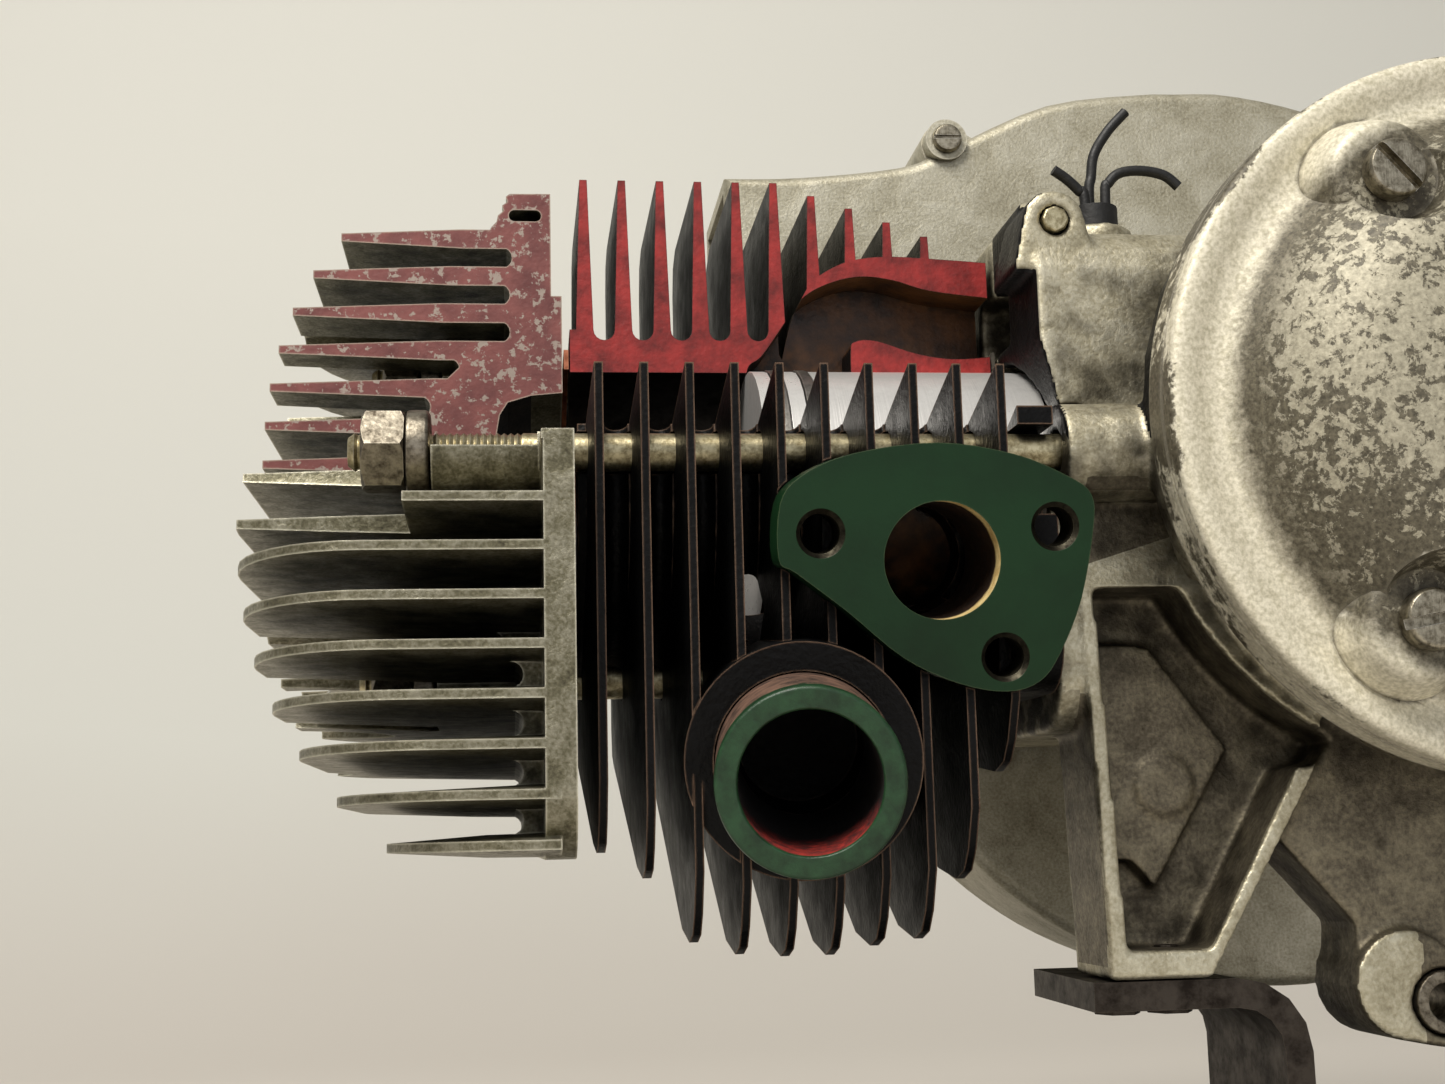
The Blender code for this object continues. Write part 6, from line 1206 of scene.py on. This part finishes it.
def moved_in(outline, amount):
    points = []
    for index, here in enumerate(outline):
        here = Vector(here)
        before, after = Vector(outline[index - 1]), Vector(outline[(index + 1) % len(outline)])
        first, second = (here - before).normalized(), (after - here).normalized()
        inward = Vector((-first.y - second.y, first.x + second.x)).normalized()
        points.append(tuple(here + inward * amount / inward.dot(Vector((-first.y, first.x)))))
    return points


def tabs(near, far):
    """Ears that widen towards the housing they stand on."""
    shapes = []
    for x, z in ear_places:
        inward = (Vector((CRANK_X, z * 0.12)) - Vector((x, z))).normalized()
        side = Vector((-inward.y, inward.x))
        points = [(x + EAR_RADIUS * math.cos(turn), z + EAR_RADIUS * math.sin(turn))
                  for turn in (math.tau * k / 32 for k in range(32))]
        points += [tuple(Vector((x, z)) + inward * 8 + side * reach) for reach in (-9, 9)]
        shapes.append(hull([(u, y, v) for u, v in points for y in (near, far)]))
    return joined(shapes)


top = scroll([(42, 1.042), (60, 1.066), (80, 1.088), (92, 1.115), (100, 1.1235)])
horn = curve_through(from_shares(
    [(-0.196, 1.111), (-0.46, 1.075), (-0.72, 0.955), (-0.827, 0.912), (-1.066, 0.883), (-1.244, 0.8776)]))
mouth = [(HORN_END, 0.12 * FAN), (CRANK_X - 1.12 * FAN, 0.02 * FAN)]
belly = scroll([(186, 1.03), (200, 1.02), (219, 1.012), (239, 1.01), (272, 1.0), (300, 0.985), (330, 0.98),
                (360, 0.995), (385, 1.02), (402, 1.042)])
snail = top + horn + mouth + belly
ear_places = from_shares([(-0.718, 0.970), (0.300, -0.990), (1.030, 0.09)])
ears = [Vector((x, 0, z)) for x, z in ear_places]
fan_middle = X * CRANK_X
shell = prism(snail, "Y", FAN_FRONT, FAN_BACK)
front_edges = [edge for edge in shell.edges if all(abs(vert.co.y - FAN_FRONT) < 0.01 for vert in edge.verts)]
bmesh.ops.bevel(shell, geom=front_edges, offset=3.6, segments=5, profile=0.5, affect="EDGES",
                clamp_overlap=True)
housing = built("snail_fan_housing", shell, [
    (CUT, prism(moved_in(snail, 3.02), "Y", FAN_ROOM, FAN_BACK + 1)),
    (ADD, tabs(EAR_FRONT, FAN_BACK - 0.1)),
    (ADD, rods(ears, Y, 55.8, 60.6, 5.3, 40)),
    (CUT, rods([fan_middle], Y, 0, 62.3, 36.3, 96)),
    (CUT, block((HORN_END - 1, FAN_ROOM, 0.12 * FAN + 3), (HORN_END + 6, FAN_BACK + 1, 0.8776 * FAN - 3))),
    (CUT, rods(ears, Y, 50, FAN_BACK + 1, 2.8, 24)),
])
piece(housing, 0.7, "fan_housing", fan_aluminium, segments=3)
lid = built("fan_cover_plate", prism(snail, "Y", FAN_BACK + GAP, FAN_BACK + 2.8), [
    (ADD, tabs(FAN_BACK + GAP, FAN_BACK + 2.79)),
    (CUT, rods([fan_middle], Y, FAN_BACK - 1, FAN_BACK + 4, 48, 96)),
    (CUT, rods(ears, Y, FAN_BACK - 1, FAN_BACK + 4, 2.8, 24)),
])
piece(lid, 0.5, "fan_cover", fan_aluminium)
for number, ear in enumerate(ears, 1):
    cheese_head(f"fan_screw_with_slot_{number}", f"fan_screw_{number}", ear + Y * 55.5, 3.7, 1.6, 2.5, 46.3,
                90, 0.9, 0.7)
